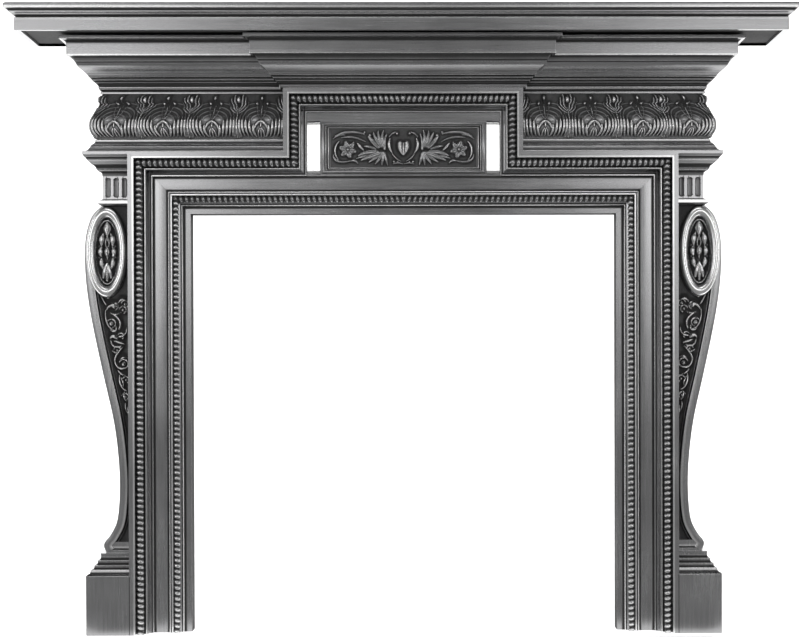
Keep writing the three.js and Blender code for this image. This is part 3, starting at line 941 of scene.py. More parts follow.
@dataclass(frozen=True)
class IronFinish:
    """Polished cast iron, brushed on its faces, with a painted highlight on its edges and painted shade in
    its recesses, partly its rubbed polish and black lead.

    Each noise has its scale, detail and roughness. Each of the tones and roughnesses is followed by
    what the streaks, the clouds or the recesses add to it.
    """

    name: str
    grain: Grain
    face: float = 0.40
    face_blue: float = 1.012
    # grey of the painted highlight on edges, and black of the painted shade in recesses, partly black lead
    edge: float = 0.80
    recess: float = 0.055
    recess_shade_range: tuple[float, float] = (-0.42, -0.04)
    edge_highlight_range: tuple[float, float] = (0.07, 0.26)
    light_and_wear_noise: float = 0.10
    streaks: tuple[float, float, float] = (4.0, 4.0, 0.6)
    clouds: tuple[float, float, float] = (5.0, 3.0, 0.5)
    pits: tuple[float, float, float] = (420.0, 3.0, 0.6)
    tone: float = 0.74
    tone_clouds: float = 0.44
    tone_streaks: float = 0.5
    roughness: float = 0.24
    rough_streaks: float = 0.14
    rough_clouds: float = 0.16
    rough_recess: float = 0.26
    recess_metal: float = 0.1
    bump: float = 0.07
    bump_depth: float = 0.0006

    def material(self) -> bpy.types.Material:
        """Builds the material.

        The painted light and wear, roughened by a fine noise, mixes painted shade that also stands for
        black lead, brushed iron and a painted highlight on edges. Long noise streaks along the grain and
        broad clouds vary the tone and the roughness.

        Returns:
            The material.
        """
        shader = Shader(self.name)
        place = shader.wire(shader.node("ShaderNodeTexCoord"), "Object")
        mapping = shader.node("ShaderNodeMapping", None, Vector=place, Scale=self.grain.value)
        stretched = shader.wire(mapping)
        streaks = shader.noise(stretched, *self.streaks)
        clouds = shader.noise(place, *self.clouds)
        pits = shader.noise(place, *self.pits)
        light_and_wear = shader.wire(shader.node("ShaderNodeAttribute", {"attribute_name": LIGHT_AND_WEAR}), "Fac")
        rubbed_and_lit = light_and_wear + self.light_and_wear_noise * (pits - 0.5) + self.light_and_wear_noise * (clouds - 0.5)
        face = shader.step(rubbed_and_lit, *self.recess_shade_range)
        edge = shader.step(rubbed_and_lit, *self.edge_highlight_range)
        tone = self.tone + self.tone_clouds * clouds + self.tone_streaks * (streaks - 0.5)
        toned = shader.tint((self.face, self.face, self.face * self.face_blue, 1), shader.grey(tone))
        # black of the painted shade and grey of the painted highlight
        black, bright = ((level, level, level, 1) for level in (self.recess, self.edge))
        colour = shader.mix(edge, shader.mix(face, black, toned), bright)
        rough = self.roughness + self.rough_streaks * (streaks - 0.5) + self.rough_clouds * (clouds - 0.5)
        height = 0.5 * streaks + 0.5 * pits
        bump = shader.wire(shader.node(
            "ShaderNodeBump", None, Strength=self.bump, Distance=self.bump_depth, Height=height
        ))
        rough = rough + self.rough_recess * (1 - face)
        metal = self.recess_metal + (1 - self.recess_metal) * face
        surface = shader.node(
            "ShaderNodeBsdfPrincipled", None, Base_Color=colour, Metallic=metal, Roughness=rough,
            Specular_IOR_Level=0.0, Normal=bump,
        )
        shader.node("ShaderNodeOutputMaterial", None, Surface=shader.wire(surface))
        return shader.material


@dataclass
class Shelf:
    """The mantel shelf: a board with mouldings round three sides and a sunk underside."""

    rim: float = 12.0
    sunk: float = 6.0

    def build(self, finish: bpy.types.Material) -> None:
        """Builds the shelf as one moulded block.

        Args:
            finish: material of the pieces.
        """
        edge, reach = SIZES.wing_edge - SIZES.shelf_inset, SIZES.shelf_projection
        members = [Member(m.width, reach - m.start, reach - m.end, -m.bow, m.wave) for m in SIZES.shelf]
        casting = Casting("shelf_board")
        run = run_of(members, SIZES.header_top + JOINT_GAP)
        casting.add_block(run, (-edge, edge), 0.0, recess=(self.rim, self.sunk))
        casting.finish(["mantel_shelf"], "shelf_iron", finish)


@dataclass
class Frieze:
    """The carved frieze of one wing: fans and lotus flowers on a swelling face, round the corner.

    A fan has bowed leaves over the swelling, arches above them, and curls and buds on stems. A lotus
    has a stem, its spreading foot with the flower's heart, and upright petals.
    """

    side: Side
    pitch: float = 102.35
    cell: float = 0.85
    corner_out: float = 18.3
    inner_lap: float = 4.0
    thickness: float = 6.0
    sunk: float = 1.0
    # painted light by height: lighter low on the swell, painted shade high up under the cornice, and a
    # painted highlight on tall carving there
    crest_shares: tuple[float, ...] = (0.04, 0.38, 0.52)
    crest_light_and_shade: tuple[float, ...] = (0.10, 0.10, -0.16)
    tip_height: float = 5.0
    tip_highlight: float = 0.15
    rub_and_light: RubAndLight = RubAndLight(ground=0.08, low=1.2, gain=0.05, rise=5, share=0.75)
    fan: tuple[Motif, ...] = (
        Motif(tuple((curve, (1.2, 2.7, 3.4, 3.0, 1.2), 6.4) for curve in (
            ((9.5, 4), (18.5, 13.5), (15.5, 30)), ((18, 4), (26.5, 19.35), (23.5, 43)),
            ((26, 4), (34.5, 21.6), (31, 48)), ((34, 4), (42, 22.5), (38, 50)),
            ((41, 4), (48, 22.5), (44, 50)),
        )), vein=0.06),
        Motif(tuple((curve, (1.5, 1.8, 1.1), 1.2) for curve in (
            ((21, 40), (20, 47), (11, 52), (2, 52)), ((29, 46), (28, 55), (13, 60), (4, 60)),
            ((36.5, 50), (35.5, 63), (18, 68), (9, 68)), ((42.5, 52), (41.5, 71), (27, 76), (18, 76)),
        ))),
        Motif((
            (((0, 37), (9, 35), (13, 22)), (3.0, 3.6, 1.8), 6.4),
            (((1.5, 22), (6, 16), (6.5, 5)), (1.2, 2.4, 1.4), 4.6),
            (((0, 40), (10, 54), (11, 70)), (1.0, 1.0), 2.2),
            (((0, 26), (0, 82)), (2.2, 1.3, 1.1), 3.6),
            (((0, 4), (0, 20)), (1.4, 2.2, 1.2), 4.6),
        ), ((11.5, 76, 3.5, 4.2, 6.6), (0, 88, 3.6, 6.0, 7.4))),
    )
    lotus: tuple[Motif, ...] = (
        Motif(((((0, 2), (0, 66)), (1.5, 2.2, 2.4, 1.9, 1.8, 1.8), 5.4),), vein=0.15),
        Motif((
            (((3.8, 3), (1.9, 12), (1, 26)), (1.3, 1.4, 0.9), 3.6),
            (((7.6, 3), (3.8, 12), (1, 26)), (1.3, 1.4, 0.9), 3.6),
        ), ((0, 85, 4.8, 9.0, 8.4),)),
        Motif((
            (((1, 60), (7, 72), (9, 82), (8.5, 94)), (1.2, 2.4, 3.2, 1.8), 5.4),
            (((1, 58), (12, 66), (15, 76), (15.5, 88)), (1.2, 2.2, 2.8, 1.6), 4.6),
            (((1, 54), (12, 58), (19, 68), (21.5, 79)), (1.0, 1.8, 2.0, 1.0), 3.2),
        ), vein=0.08),
    )

    def build(self, finish: bpy.types.Material) -> None:
        """Builds the carved shell over the return and the front of the wing.

        Columns run from the wall along the return to the corner and on to the tablet. A place at a
        share of either stretch lies at that share of its length at that height, and stands out by the
        swell of the face plus the carving.

        Args:
            finish: material of the pieces.
        """
        inner = SIZES.tablet_half_width - self.inner_lap
        back_run = SIZES.core_depth + self.corner_out
        front_run = SIZES.wing_edge + self.corner_out - inner
        along = np.concatenate([
            np.linspace(-back_run, 0, int(back_run / self.cell), endpoint=False),
            np.linspace(0, front_run, int(front_run / self.cell)),
        ])
        up = np.linspace(0, SIZES.frieze_height, int(SIZES.frieze_height / self.cell))
        x, y = np.meshgrid(along, up)
        relief = Relief(x, y)
        count = round(front_run / self.pitch)
        relief.carve(self.fan, -back_run / 2)
        relief.carve(self.lotus, 0.0)
        for i in range(count):
            relief.carve(self.fan, front_run * (i + 0.5) / count)
            relief.carve(self.lotus, front_run * (i + 1) / count)
        knots = np.linspace(0, SIZES.frieze_height, len(SIZES.bulges))
        out = self.smooth_swell(up, knots)[:, None] + relief.height - self.sunk
        corner = np.argmin(np.abs(along))
        at_corner = out[:, corner : corner + 1]
        is_front = x >= 0
        far = SIZES.wing_edge + at_corner
        place_x = np.where(is_front, far - x / front_run * (far - inner), SIZES.wing_edge + out)
        deep = SIZES.core_depth + at_corner
        place_z = np.where(is_front, SIZES.core_depth + out, np.maximum((1 + x / back_run) * deep, INSET))
        face = elevation(place_x, SIZES.frieze_base + y, place_z)
        edge, depth = SIZES.wing_edge - self.thickness, SIZES.core_depth - self.thickness
        rear = elevation(
            np.array([inner, edge, edge]), SIZES.frieze_base + up[:, None], np.array([depth, depth, INSET])
        )
        grid = np.concatenate([face, rear], 1)
        grid[..., 0] *= self.side.value
        level = y / SIZES.frieze_height
        # painted shade and highlight from the carving and from the height on the swell
        worn_and_lit = relief.light_and_wear(self.rub_and_light) + np.interp(level, self.crest_shares, self.crest_light_and_shade)
        worn_and_lit += self.tip_highlight * (relief.height > self.tip_height) * (level > self.crest_shares[-1])
        light_and_wear = np.concatenate([worn_and_lit, np.zeros((len(up), 3))], 1)
        casting = Casting(f"{self.side.name.lower()}_frieze", CARVED)
        casting.add(grid, light_and_wear)
        casting.finish(["header"], "header_iron", finish)

    @staticmethod
    def smooth_swell(up: Array, knots: Array, reach: int = 5) -> Array:
        """Draws the swell of the frieze: straight lines, averaged twice over the rows within reach.

        Args:
            up: heights of the rows.
            knots: heights of the bulges.
            reach: rows to either side that count in an average.

        Returns:
            How far each row stands out.
        """
        fine = np.interp(up, knots, SIZES.bulges)
        window = np.ones(2 * reach + 1) / (2 * reach + 1)
        for _ in range(2):
            fine = np.convolve(np.pad(fine, reach, mode="edge"), window, "valid")
        return fine


@dataclass
class Header:
    """The header casting: wings, cornice with its breakfront, and the architrave's stepped head."""

    sunk: float = 4.0
    # painted shade on the cornice, the breakfront and the head's two ropes
    cornice_shade: float = -0.07
    breakfront_shade: float = -0.17
    rope_lean: float = -1.8
    inner_rope_shade: float = -0.2
    outer_rope_shade: float = -0.12

    def __post_init__(self) -> None:
        """Works out the corners of the stepped head."""
        self.step = SIZES.tablet_half_width - SIZES.architrave_width
        self.raised = SIZES.head_top + SIZES.tablet_rise - SIZES.architrave_width
        self.field = dict(SIZES.architrave)["band"].start

    def inner_route(self, t: Array) -> Array:
        """Path of the inner architrave over the opening, at offsets t.

        Args:
            t: offsets from the opening's edge.

        Returns:
            The stations, as (stations, n, 2).
        """
        reach = SIZES.half_opening + t - JOINT_GAP * math.sqrt(2)
        top = SIZES.opening_height + t
        return self.stations([(-reach, top)], top)

    def outer_route(self, t: Array) -> Array:
        """Path of the outer architrave, which steps up round the tablet, at offsets t.

        Args:
            t: offsets from the opening's edge.

        Returns:
            The stations, as (stations, n, 2).
        """
        reach = SIZES.half_opening + t - JOINT_GAP * math.sqrt(2)
        low, high = SIZES.opening_height + t, self.raised + t
        return self.stations([(-reach, low), (-self.step - t, low), (-self.step - t, high)], high)

    @staticmethod
    def stations(half: Sequence[tuple[Array, Array]], top: Array) -> Array:
        """Lists stations as (stations, n, 2): the left half, the middle and the mirrored right half.

        Args:
            half: x and y of the stations left of the middle.
            top: y of the middle.

        Returns:
            All the stations.
        """
        left = [np.stack(np.broadcast_arrays(x, y), -1) for x, y in half]
        middle = np.stack([np.zeros_like(top), top], -1)
        right = [place * [-1, 1] for place in reversed(left)]
        return np.stack([*left, middle, *right])

    def build_blocks(self, finish: bpy.types.Material) -> None:
        """Builds the wings behind the frieze, the cornice and the breakfront.

        Args:
            finish: material of the pieces.
        """
        casting = Casting("header_mouldings")
        width = SIZES.frieze_height / (len(SIZES.bulges) - 1)
        swell = [
            Member(width, low - self.sunk, high - self.sunk)
            for low, high in zip(SIZES.bulges, SIZES.bulges[1:])
        ]
        run = run_of([*SIZES.base, *swell], SIZES.header_base)
        for side in Side:
            edges, sides = side.block(SIZES.tablet_half_width - self.sunk, SIZES.wing_edge)
            casting.add_block(run, edges, SIZES.core_depth, sides)
        edges = (-SIZES.wing_edge, SIZES.wing_edge)
        cornice = run_of(SIZES.cornice, SIZES.cornice_base)
        casting.add_block(cornice, edges, SIZES.core_depth, light_and_wear=self.cornice_shade)
        front = run_of(SIZES.cornice[1:], SIZES.cornice_base + SIZES.cornice[0].width)
        half = SIZES.tablet_half_width
        casting.add_block(
            front, (-half, half), SIZES.breakfront_depth, light_and_wear=self.breakfront_shade, back=4 * INSET
        )
        casting.finish(["header"], "header_iron", finish)

    def build_head(self, finish: bpy.types.Material) -> None:
        """Builds the mitred mouldings of the architrave's head and the field behind the tablet.

        Args:
            finish: material of the pieces.
        """
        casting = Casting("head_architrave")
        whole = run_of(SIZES.members("inner_flat", "outer_fillet"))
        worn_and_lit = exposure(whole)
        inner = run_of(SIZES.members("inner_flat", "band"))
        outer = run_of(SIZES.members("lower_step", "outer_fillet"), SIZES.start("lower_step"))
        for route, run, back in ((self.inner_route, inner, INSET), (self.outer_route, outer, 2 * INSET)):
            nearest = np.hypot(*(whole.T[:, None] - run.T[:, :, None])).argmin(1)
            casting.add_path(route, run, back=back, light_and_wear=worn_and_lit[nearest])
        start, rear = SIZES.start("lower_step"), 3 * INSET
        levels = (SIZES.opening_height + start - LAP, self.raised + start + LAP)
        self.add_plain(casting, self.step + start + LAP, levels, (rear, self.field), (REVEAL, 0.0))
        self.add_plain(
            casting, SIZES.tablet_half_width - self.sunk, (SIZES.header_base, SIZES.cornice_base),
            (0.0, SIZES.tablet_body), (REVEAL, REVEAL),
        )
        casting.finish(["header"], "header_iron", finish)

    @staticmethod
    def add_plain(
        casting: Casting, half: float, levels: tuple[float, float], depths: tuple[float, float],
        back_and_front_shade: tuple[float, float],
    ) -> None:
        """Adds a plain body that reaches as far to the left of the middle as to the right.

        Args:
            casting: the piece that gets it.
            half: half its width.
            levels: its lower and upper edge.
            depths: depth of its back and front.
            back_and_front_shade: exposure of its back and front, painted shade where it is below zero.
        """
        (low, high), (rear, front) = levels, depths
        level, z = np.array([low, low, high, high]), np.array([rear, front, front, rear])
        casting.add(elevation(np.array([-half, half])[:, None], level, z), np.array([*back_and_front_shade, *back_and_front_shade[::-1]]))

    def build_ropes(self, finish: bpy.types.Material) -> None:
        """Builds the two rope mouldings of the head.

        Args:
            finish: material of the pieces.
        """
        casting = Casting("head_ropes", CARVED)
        INNER_ROPE.along(casting, self.inner_route, self.rope_lean, self.inner_rope_shade)
        OUTER_ROPE.along(casting, self.outer_route, self.rope_lean, self.outer_rope_shade)
        casting.finish(["header"], "header_iron", finish)


@dataclass
class Leg:
    """One leg: plinth, foot, scroll console, fluted neck and cap, and the architrave's upright."""

    side: Side
    flute_radius: float = 5.6
    flute_pitch: float = 17.5
    flute_height: float = 42.0
    # painted shade in the flutes and on the cap, painted highlight on the flutes' rims
    flute_shade: float = -0.035
    flute_rim_highlight: float = 0.2
    cap_shade: float = -0.2

    def named(self, word: str) -> str:
        """Name of a piece of this leg."""
        return f"{self.side.name.lower()}_{word}"

    def route(self, t: Array) -> Array:
        """Path of the upright from the floor to the mitre, at offsets t.

        Args:
            t: offsets from the opening's edge.

        Returns:
            The stations, as (stations, n, 2).
        """
        x = self.side.value * (SIZES.half_opening + t)
        low = np.stack([x, np.zeros_like(t)], -1)
        high = np.stack([x, SIZES.opening_height + t], -1)
        return np.stack([low, high])

    def build_upright(self, finish: bpy.types.Material) -> None:
        """Builds the mouldings and ropes of the upright.

        Args:
            finish: material of the pieces.
        """
        casting = Casting(self.named("architrave"))
        casting.add_path(self.route, run_of(SIZES.members("inner_flat", "outer_fillet")), back=INSET)
        casting.finish([self.node], "leg_iron", finish)
        ropes = Casting(self.named("ropes"), CARVED)
        for rope in (INNER_ROPE, OUTER_ROPE):
            rope.along(ropes, self.route, 1)
        ropes.finish([self.node], "leg_iron", finish)

    @property
    def node(self) -> str:
        """Name of the solid that the leg's pieces stand for."""
        return self.named("leg")

    def add_block(
        self, casting: Casting, members: Sequence[Member], level: float, reach: float, depth: float,
        light_and_wear: float = 0.0,
    ) -> None:
        """Adds a moulded block beside the upright, from a level up, with some added exposure.

        Args:
            casting: the piece that gets it.
            members: its moulding.
            level: where it starts.
            reach: how far it goes past the upright's edge.
            depth: its depth off the wall.
            light_and_wear: painted light added to its exposure; below zero it is painted shade.
        """
        edges, sides = self.side.block(SIZES.architrave_edge - LAP, SIZES.architrave_edge + reach)
        casting.add_block(run_of(members, level), edges, depth, sides, light_and_wear=light_and_wear)

    def build_blocks(self, finish: bpy.types.Material) -> None:
        """Builds the plinth, the foot mouldings, the abacus and the cap.

        Args:
            finish: material of the pieces.
        """
        casting = Casting(self.named("plinth_and_caps"))
        plain = [Member(SIZES.plinth_height, 0, 0)]
        front = dict(SIZES.architrave)["outer_fillet"].start
        self.add_block(casting, plain, 0.0, SIZES.plinth_reach, front)
        reach, depth = SIZES.core_reach, SIZES.core_depth
        self.add_block(casting, SIZES.foot, SIZES.plinth_height, reach, depth)
        self.add_block(casting, SIZES.abacus, SIZES.scroll_top, reach, depth)
        self.add_block(casting, SIZES.cap, SIZES.neck_top, reach, depth, self.cap_shade)
        self.add_neck(casting)
        casting.finish([self.node], "leg_iron", finish)

    def add_neck(self, casting: Casting) -> None:
        """Adds the fluted neck.

        Its plan runs from the wall round the outer corner to the upright. A place at distance s from
        the middle of the nearest flute and h above the middle of the neck is sunk by
        depth * sqrt(1 - (s / radius)^2 - (e / radius)^2), where e is how far h lies past the straight
        part of the flute.

        Args:
            casting: the piece that gets it.
        """
        reach, deep = SIZES.core_reach, SIZES.core_depth
        radius, pitch, reach_up = self.flute_radius, self.flute_pitch, self.flute_height / 2
        middle = SIZES.neck_height / 2
        straight = reach_up - radius
        bend = middle - reach_up + np.linspace(0, radius, ROUND_POINTS)
        up = np.unique(np.concatenate([[0.0, middle], bend]))
        up = np.unique(np.concatenate([up, 2 * middle - up]))[:, None]
        along = np.linspace(0, deep + reach, int(deep + reach) + 1)
        on_side = along < deep
        local = np.where(on_side, along, along - deep)
        length = np.where(on_side, deep, reach)
        count = np.floor(length / pitch)
        shift = (local - length / 2) / pitch - (count - 1) / 2 % 1
        off = (shift - np.round(shift)) * pitch
        inside = np.abs(local - length / 2) < count * pitch / 2
        past = np.clip(np.abs(up - middle) - straight, 0, None)
        bowl = np.clip(1 - (off / radius) ** 2 - (past / radius) ** 2, 0, None)
        cut = np.where(inside, radius * np.sqrt(bowl), 0.0)
        out = SIZES.architrave_edge + reach
        x = np.where(on_side, out - cut, out - local)
        z = np.where(on_side, local, deep - cut)
        x = np.concatenate([x, np.full((len(up), 1), SIZES.architrave_edge - LAP)], 1)
        z = np.concatenate([z, np.zeros((len(up), 1))], 1)
        # painted shade deeper in the flutes, a painted highlight beside them, painted shade on the closing
        # faces
        light_and_wear = np.concatenate([self.flute_shade * cut, np.zeros((len(up), 1))], 1)
        beside = np.roll(light_and_wear, 1, 1) + np.roll(light_and_wear, -1, 1) < 0
        light_and_wear += np.where((light_and_wear == 0) & beside, self.flute_rim_highlight, 0)
        light_and_wear[:, [0, -1]] = REVEAL
        casting.add(elevation(self.side.value * x, SIZES.neck_base + up, z), light_and_wear)

    def build(self, finish: bpy.types.Material) -> None:
        """Builds every piece of the leg.

        Args:
            finish: material of the pieces.
        """
        self.build_upright(finish)
        self.build_blocks(finish)
        Console(self.side).build(finish, self)


@dataclass
class Console:
    """The scroll console: a strap along an S outline round a carved ground, with an oval rosette."""

    side: Side
    outline: tuple[tuple[float, float], ...] = (
        (0, 50), (0.012, 56), (0.025, 57.6), (0.037, 53), (0.056, 42), (0.098, 28.5), (0.18, 23.4),
        (0.27, 25.6), (0.38, 35.6), (0.52, 58.4), (0.66, 80), (0.76, 91.5), (0.845, 95.8),
        (0.91, 93.3), (0.957, 84.5), (0.981, 74), (1, 58),
    )
    strap: tuple[Member, ...] = (
        Member(17, 88, 88, bow=0.8),
        Member(2.2, 77, 77),
        Member(2.6, 82, 82, bow=1.2),
    )
    span_points: int = 12
    calm: int = 4
    rail: tuple[Member, ...] = (Member(7, 4, 4), Member(3, 1, 1), Member(14, 6, 6))
    rail_reach: float = 50.0
    rail_depth: float = 81.0
    body_inset: float = 3.0
    body_drop: float = 5.0
    ground: float = 72.0
    thickness: float = 8.0
    oval_level: float = 0.867
    oval_reach: float = 49.5
    oval: tuple[float, float] = (45.5, 97.5)
    hoop_top: float = 93.0
    hoop_round: float = 0.16
    # painted highlight along the hoop's crest, painted shade at its foot
    hoop_highlight: float = 0.85
    hoop_fade: float = 0.3
    hoop_shade: float = 0.4
    hoop_stations: int = 120
    hoop_points: int = 25
    dish: tuple[float, float] = (25.6, 73.0)
    dish_lap: float = 2.0
    dish_density: float = 3.4
    rim_height: float = 8.5
    rim_place: float = 0.93
    rim_width: float = 0.05
    # painted shade on the rosette's ground and painted highlight on its relief
    rosette_rub_and_light: RubAndLight = RubAndLight(ground=0.12, low=1.5, gain=0.06, rise=8)
    rosette: tuple[Motif, ...] = (
        Motif((
            (((0, 24), (0, 44)), (1.6, 2.2, 3.0), 8.0),
            (((0, 38), (0, 52), (0, 65)), (4.2, 9.4, 10.0, 7.0, 2.6), 14.0),
            (((0, -8), (0, -15)), (3.4, 1.6), 8.0),
        ), (
            (0, 1, 6.6, 12.0, 15.0), (8.2, 39, 2.5, 3.4, 9.5), (17.0, 13, 1.9, 2.6, 7.5),
            (17.0, -11, 1.9, 2.6, 7.5),
        )),
        Motif(((((0, -22), (0, -44), (0, -60)), (1.2, 3.2, 4.6, 3.6), 14.0),), vein=0.2),
        Motif((
            (((9.0, 37), (13.0, 29), (12.0, 15)), (3.2, 6.2, 6.4, 3.4), 13.5),
            (((12.0, 10), (16.5, 1), (12.5, -8)), (3.0, 6.0, 6.0, 3.0), 13.0),
            (((12.0, -14), (13.5, -24), (9, -34)), (3.0, 5.8, 5.6, 2.6), 12.5),
            (((1, -24), (6.0, -38), (8.0, -54)), (1.8, 5.0, 5.4, 3.4), 12.5),
            (((2.5, 11), (5.5, 20), (2.5, 30)), (1.0, 1.9, 1.0), 6.0),
        ), vein=0.08),
    )
    ball_lift: tuple[float, float] = (4.0, 1.6)
    coil_gaps: tuple[float, float] = (5.0, 3.0)
    coil_turn: tuple[float, float] = (20, 250)
    coil_widths: tuple[float, ...] = (1.4, 2.2, 1.4)
    coil_lift: float = 5.0
    row_height: float = 1.4
    columns: int = 90
    strap_lap: float = 8.0
    inner_lap: float = 1.0
    carving_depth: float = 12.0
    hole_rim: float = 8.0
    hole_depth: float = 7.0
    # painted shade on the vine's ground and painted highlight on its relief
    vine_rub_and_light: RubAndLight = RubAndLight(ground=0.2, low=1.0, gain=0.06, rise=6)
    balls: tuple[tuple[float, float, float], ...] = (
        (11.9, 703.1, 3.6), (16.6, 690.6, 3.4), (41.7, 661.6, 5.2), (15.5, 575.4, 5.2), (36.0, 697.5, 4.2),
        (21.0, 634.5, 2.6), (29.0, 605.0, 3.0), (10.5, 541.0, 3.0), (12.5, 505.0, 3.2), (52.0, 722.0, 3.2),
    )
    vine: Motif = Motif((
        (((69, 735), (62, 716), (53, 703)), (1.2, 2.0, 2.4), 7.0),
        (((52, 690), (46, 702), (36, 704), (30, 699)), (1.6, 3.6, 4.4, 2.0), 10.0),
        (((26, 707), (18, 719), (9, 709)), (1.4, 3.0, 1.6), 9.0),
        (((43, 684), (32, 678), (22, 685)), (1.2, 2.2, 1.2), 5.5),
        (((36, 680), (22, 672), (19, 662), (25, 650)), (1.6, 3.0, 3.0, 1.8), 7.5),
        (((54, 690), (56, 668), (48, 650), (36, 648)), (1.4, 2.4, 2.2, 1.4), 5.5),
        (((32, 656), (28, 645), (38, 643), (44, 648)), (1.2, 2.2, 1.4), 5.0),
        (((25, 634), (14, 634), (8, 640), (9, 652)), (2.2, 3.0, 2.2, 1.4), 8.5),
        (((44, 630), (40, 638), (34, 634), (29, 630)), (2.4, 5.0, 5.2, 2.6), 11.0),
        (((36, 625), (26, 622), (15, 619)), (1.6, 3.4, 2.2), 9.0),
        (((43, 626), (42, 612), (32, 609), (21, 614)), (1.4, 2.4, 1.6), 5.5),
        (((40, 604), (34, 598), (28, 600)), (1.2, 2.0, 1.2), 5.0),
        (((17, 612), (26, 600), (36, 592), (34, 580)), (1.6, 2.4, 2.8, 2.4), 7.5),
        (((34, 580), (32, 568), (20, 560), (6, 570)), (2.4, 3.0, 2.8, 1.6), 7.5),
        (((8, 588), (16, 592), (22, 586)), (1.4, 2.6, 1.4), 6.0),
        (((28, 562), (22, 552), (12, 552)), (1.4, 2.4, 1.4), 5.5),
        (((24, 552), (27, 536), (20, 522), (10, 519)), (1.4, 2.4, 3.0, 2.4), 8.0),
        (((22, 546), (14, 534), (17, 526)), (1.2, 2.2, 1.2), 6.0),
        (((14, 516), (18, 504), (12, 494), (6, 497)), (1.4, 2.4, 2.2, 1.2), 7.0),
        (((12, 492), (14, 478), (7, 470)), (1.4, 2.0, 1.2), 6.0),
        (((8, 484), (5, 472), (7, 460)), (1.0, 1.6, 0.8), 5.0),
    ), vein=0.08, sides=(1,))

    @property
    def centre(self) -> float:
        """Level of the middle of the oval."""
        return SIZES.scroll_base + self.oval_level * SIZES.scroll_height

    def line(self) -> Array:
        """Draws the outline from toe to top as points of (reach, level), by cubic spans.

        Each span runs between two points of the outline with half the vector between the neighbours
        as its tangent at either end.

        Returns:
            The points.
        """
        base, height = SIZES.scroll_base, SIZES.scroll_height
        knots = np.array([(reach, base + share * height) for share, reach in self.outline])
        padded = np.concatenate([knots[:1], knots, knots[-1:]])
        slope = (padded[2:] - padded[:-2]) / 2
        t = np.linspace(0, 1, self.span_points, endpoint=False)[:, None]
        p, q, m, n = (a[:, None] for a in (knots[:-1], knots[1:], slope[:-1], slope[1:]))
        spans = (2 * t**3 - 3 * t**2 + 1) * p + (t**3 - 2 * t**2 + t) * m
        spans = spans + (3 * t**2 - 2 * t**3) * q + (t**3 - t**2) * n
        return np.concatenate([spans.reshape(-1, 2), knots[-1:]])

    def place(self, reach: Array, level: Array, z: Array) -> Array:
        """Puts a place at a reach from the upright's edge into the elevation."""
        return elevation(self.side.value * (SIZES.architrave_edge + reach), level, z)

    def add_strap(self, casting: Casting, line: Array) -> None:
        """Adds the strap: its section is carried along the outline, inwards along the normal.

        Args:
            casting: the piece that gets it.
            line: the outline, as points of (reach, level).
        """
        run = run_of(self.strap)
        window = np.ones(2 * self.calm + 1) / (2 * self.calm + 1)
        padded = np.pad(line, ((self.calm, self.calm), (0, 0)), mode="edge")
        calm = np.stack([np.convolve(padded[:, i], window, "valid") for i in (0, 1)], 1)
        along = np.gradient(calm, axis=0)
        along /= np.linalg.norm(along, axis=1)[:, None]
        normal = np.stack([-along[:, 1], along[:, 0]], 1)
        inner, outer = run[-1, 0], run[0, 0]
        section = np.concatenate([run, [[inner, BACK_STRIP], [inner, 0], [outer, 0], [outer, BACK_STRIP]]])
        reach = line[:, :1] + normal[:, :1] * section[:, 0]
        level = np.clip(line[:, 1:] + normal[:, 1:] * section[:, 0], SIZES.scroll_base, SIZES.scroll_top)
        # the strap's back gets painted shade
        light_and_wear = np.concatenate([exposure(run), [0, REVEAL, REVEAL, 0]])
        casting.add(self.place(np.maximum(reach, -LAP), level, section[:, 1]), light_and_wear)

    def add_ground(self, casting: Casting, line: Array) -> None:
        """Adds the plain body behind the strap and the rail across the toe.

        Args:
            casting: the piece that gets it.
            line: the outline, as points of (reach, level).
        """
        level = line[::3, 1:]
        reach = line[::3, :1] - self.body_inset
        inner = np.full_like(reach, -LAP)
        rear = np.full_like(reach, 2 * INSET)
        front = np.full_like(reach, self.ground - self.body_drop)
        across = np.concatenate([inner, reach, reach, inner], 1)
        # the body behind the strap gets painted shade
        casting.add(self.place(across, level, np.concatenate([rear, rear, front, front], 1)), REVEAL)
        edge = SIZES.architrave_edge
        edges, sides = self.side.block(edge - LAP, edge + self.rail_reach)
        rail = run_of(self.rail, SIZES.scroll_base)
        casting.add_block(rail, edges, self.rail_depth, sides, back=3 * INSET)

    def add_hoop(self, casting: Casting) -> None:
        """Adds the oval hoop round the rosette.

        At share w between the dish's ellipse and the oval, it stands sin(pi w)^hoop_round of its
        height over the ground. Its exposure, a painted highlight on its crest and painted shade at its
        foot, is hoop_highlight * sin(pi w)^hoop_fade - hoop_shade.

        Args:
            casting: the piece that gets it.
        """
        turn = np.linspace(0, 2 * math.pi, self.hoop_stations, endpoint=False)[:, None]
        share = (1 - np.cos(np.linspace(0, math.pi, self.hoop_points))) / 2
        share = np.concatenate([share, [1.0, 0.0]])
        arch = np.sin(math.pi * share)
        crown = self.ground + (self.hoop_top - self.ground) * arch**self.hoop_round
        crown[-2:] = self.ground - self.thickness
        wide, high = (inner + share * (outer - inner) for inner, outer in zip(self.dish, self.oval))
        x, y = self.oval_reach + wide * np.cos(turn), self.centre + high * np.sin(turn)
        light_and_wear = self.hoop_highlight * arch**self.hoop_fade - self.hoop_shade
        casting.add(self.place(x, y, crown), light_and_wear, ring=True)

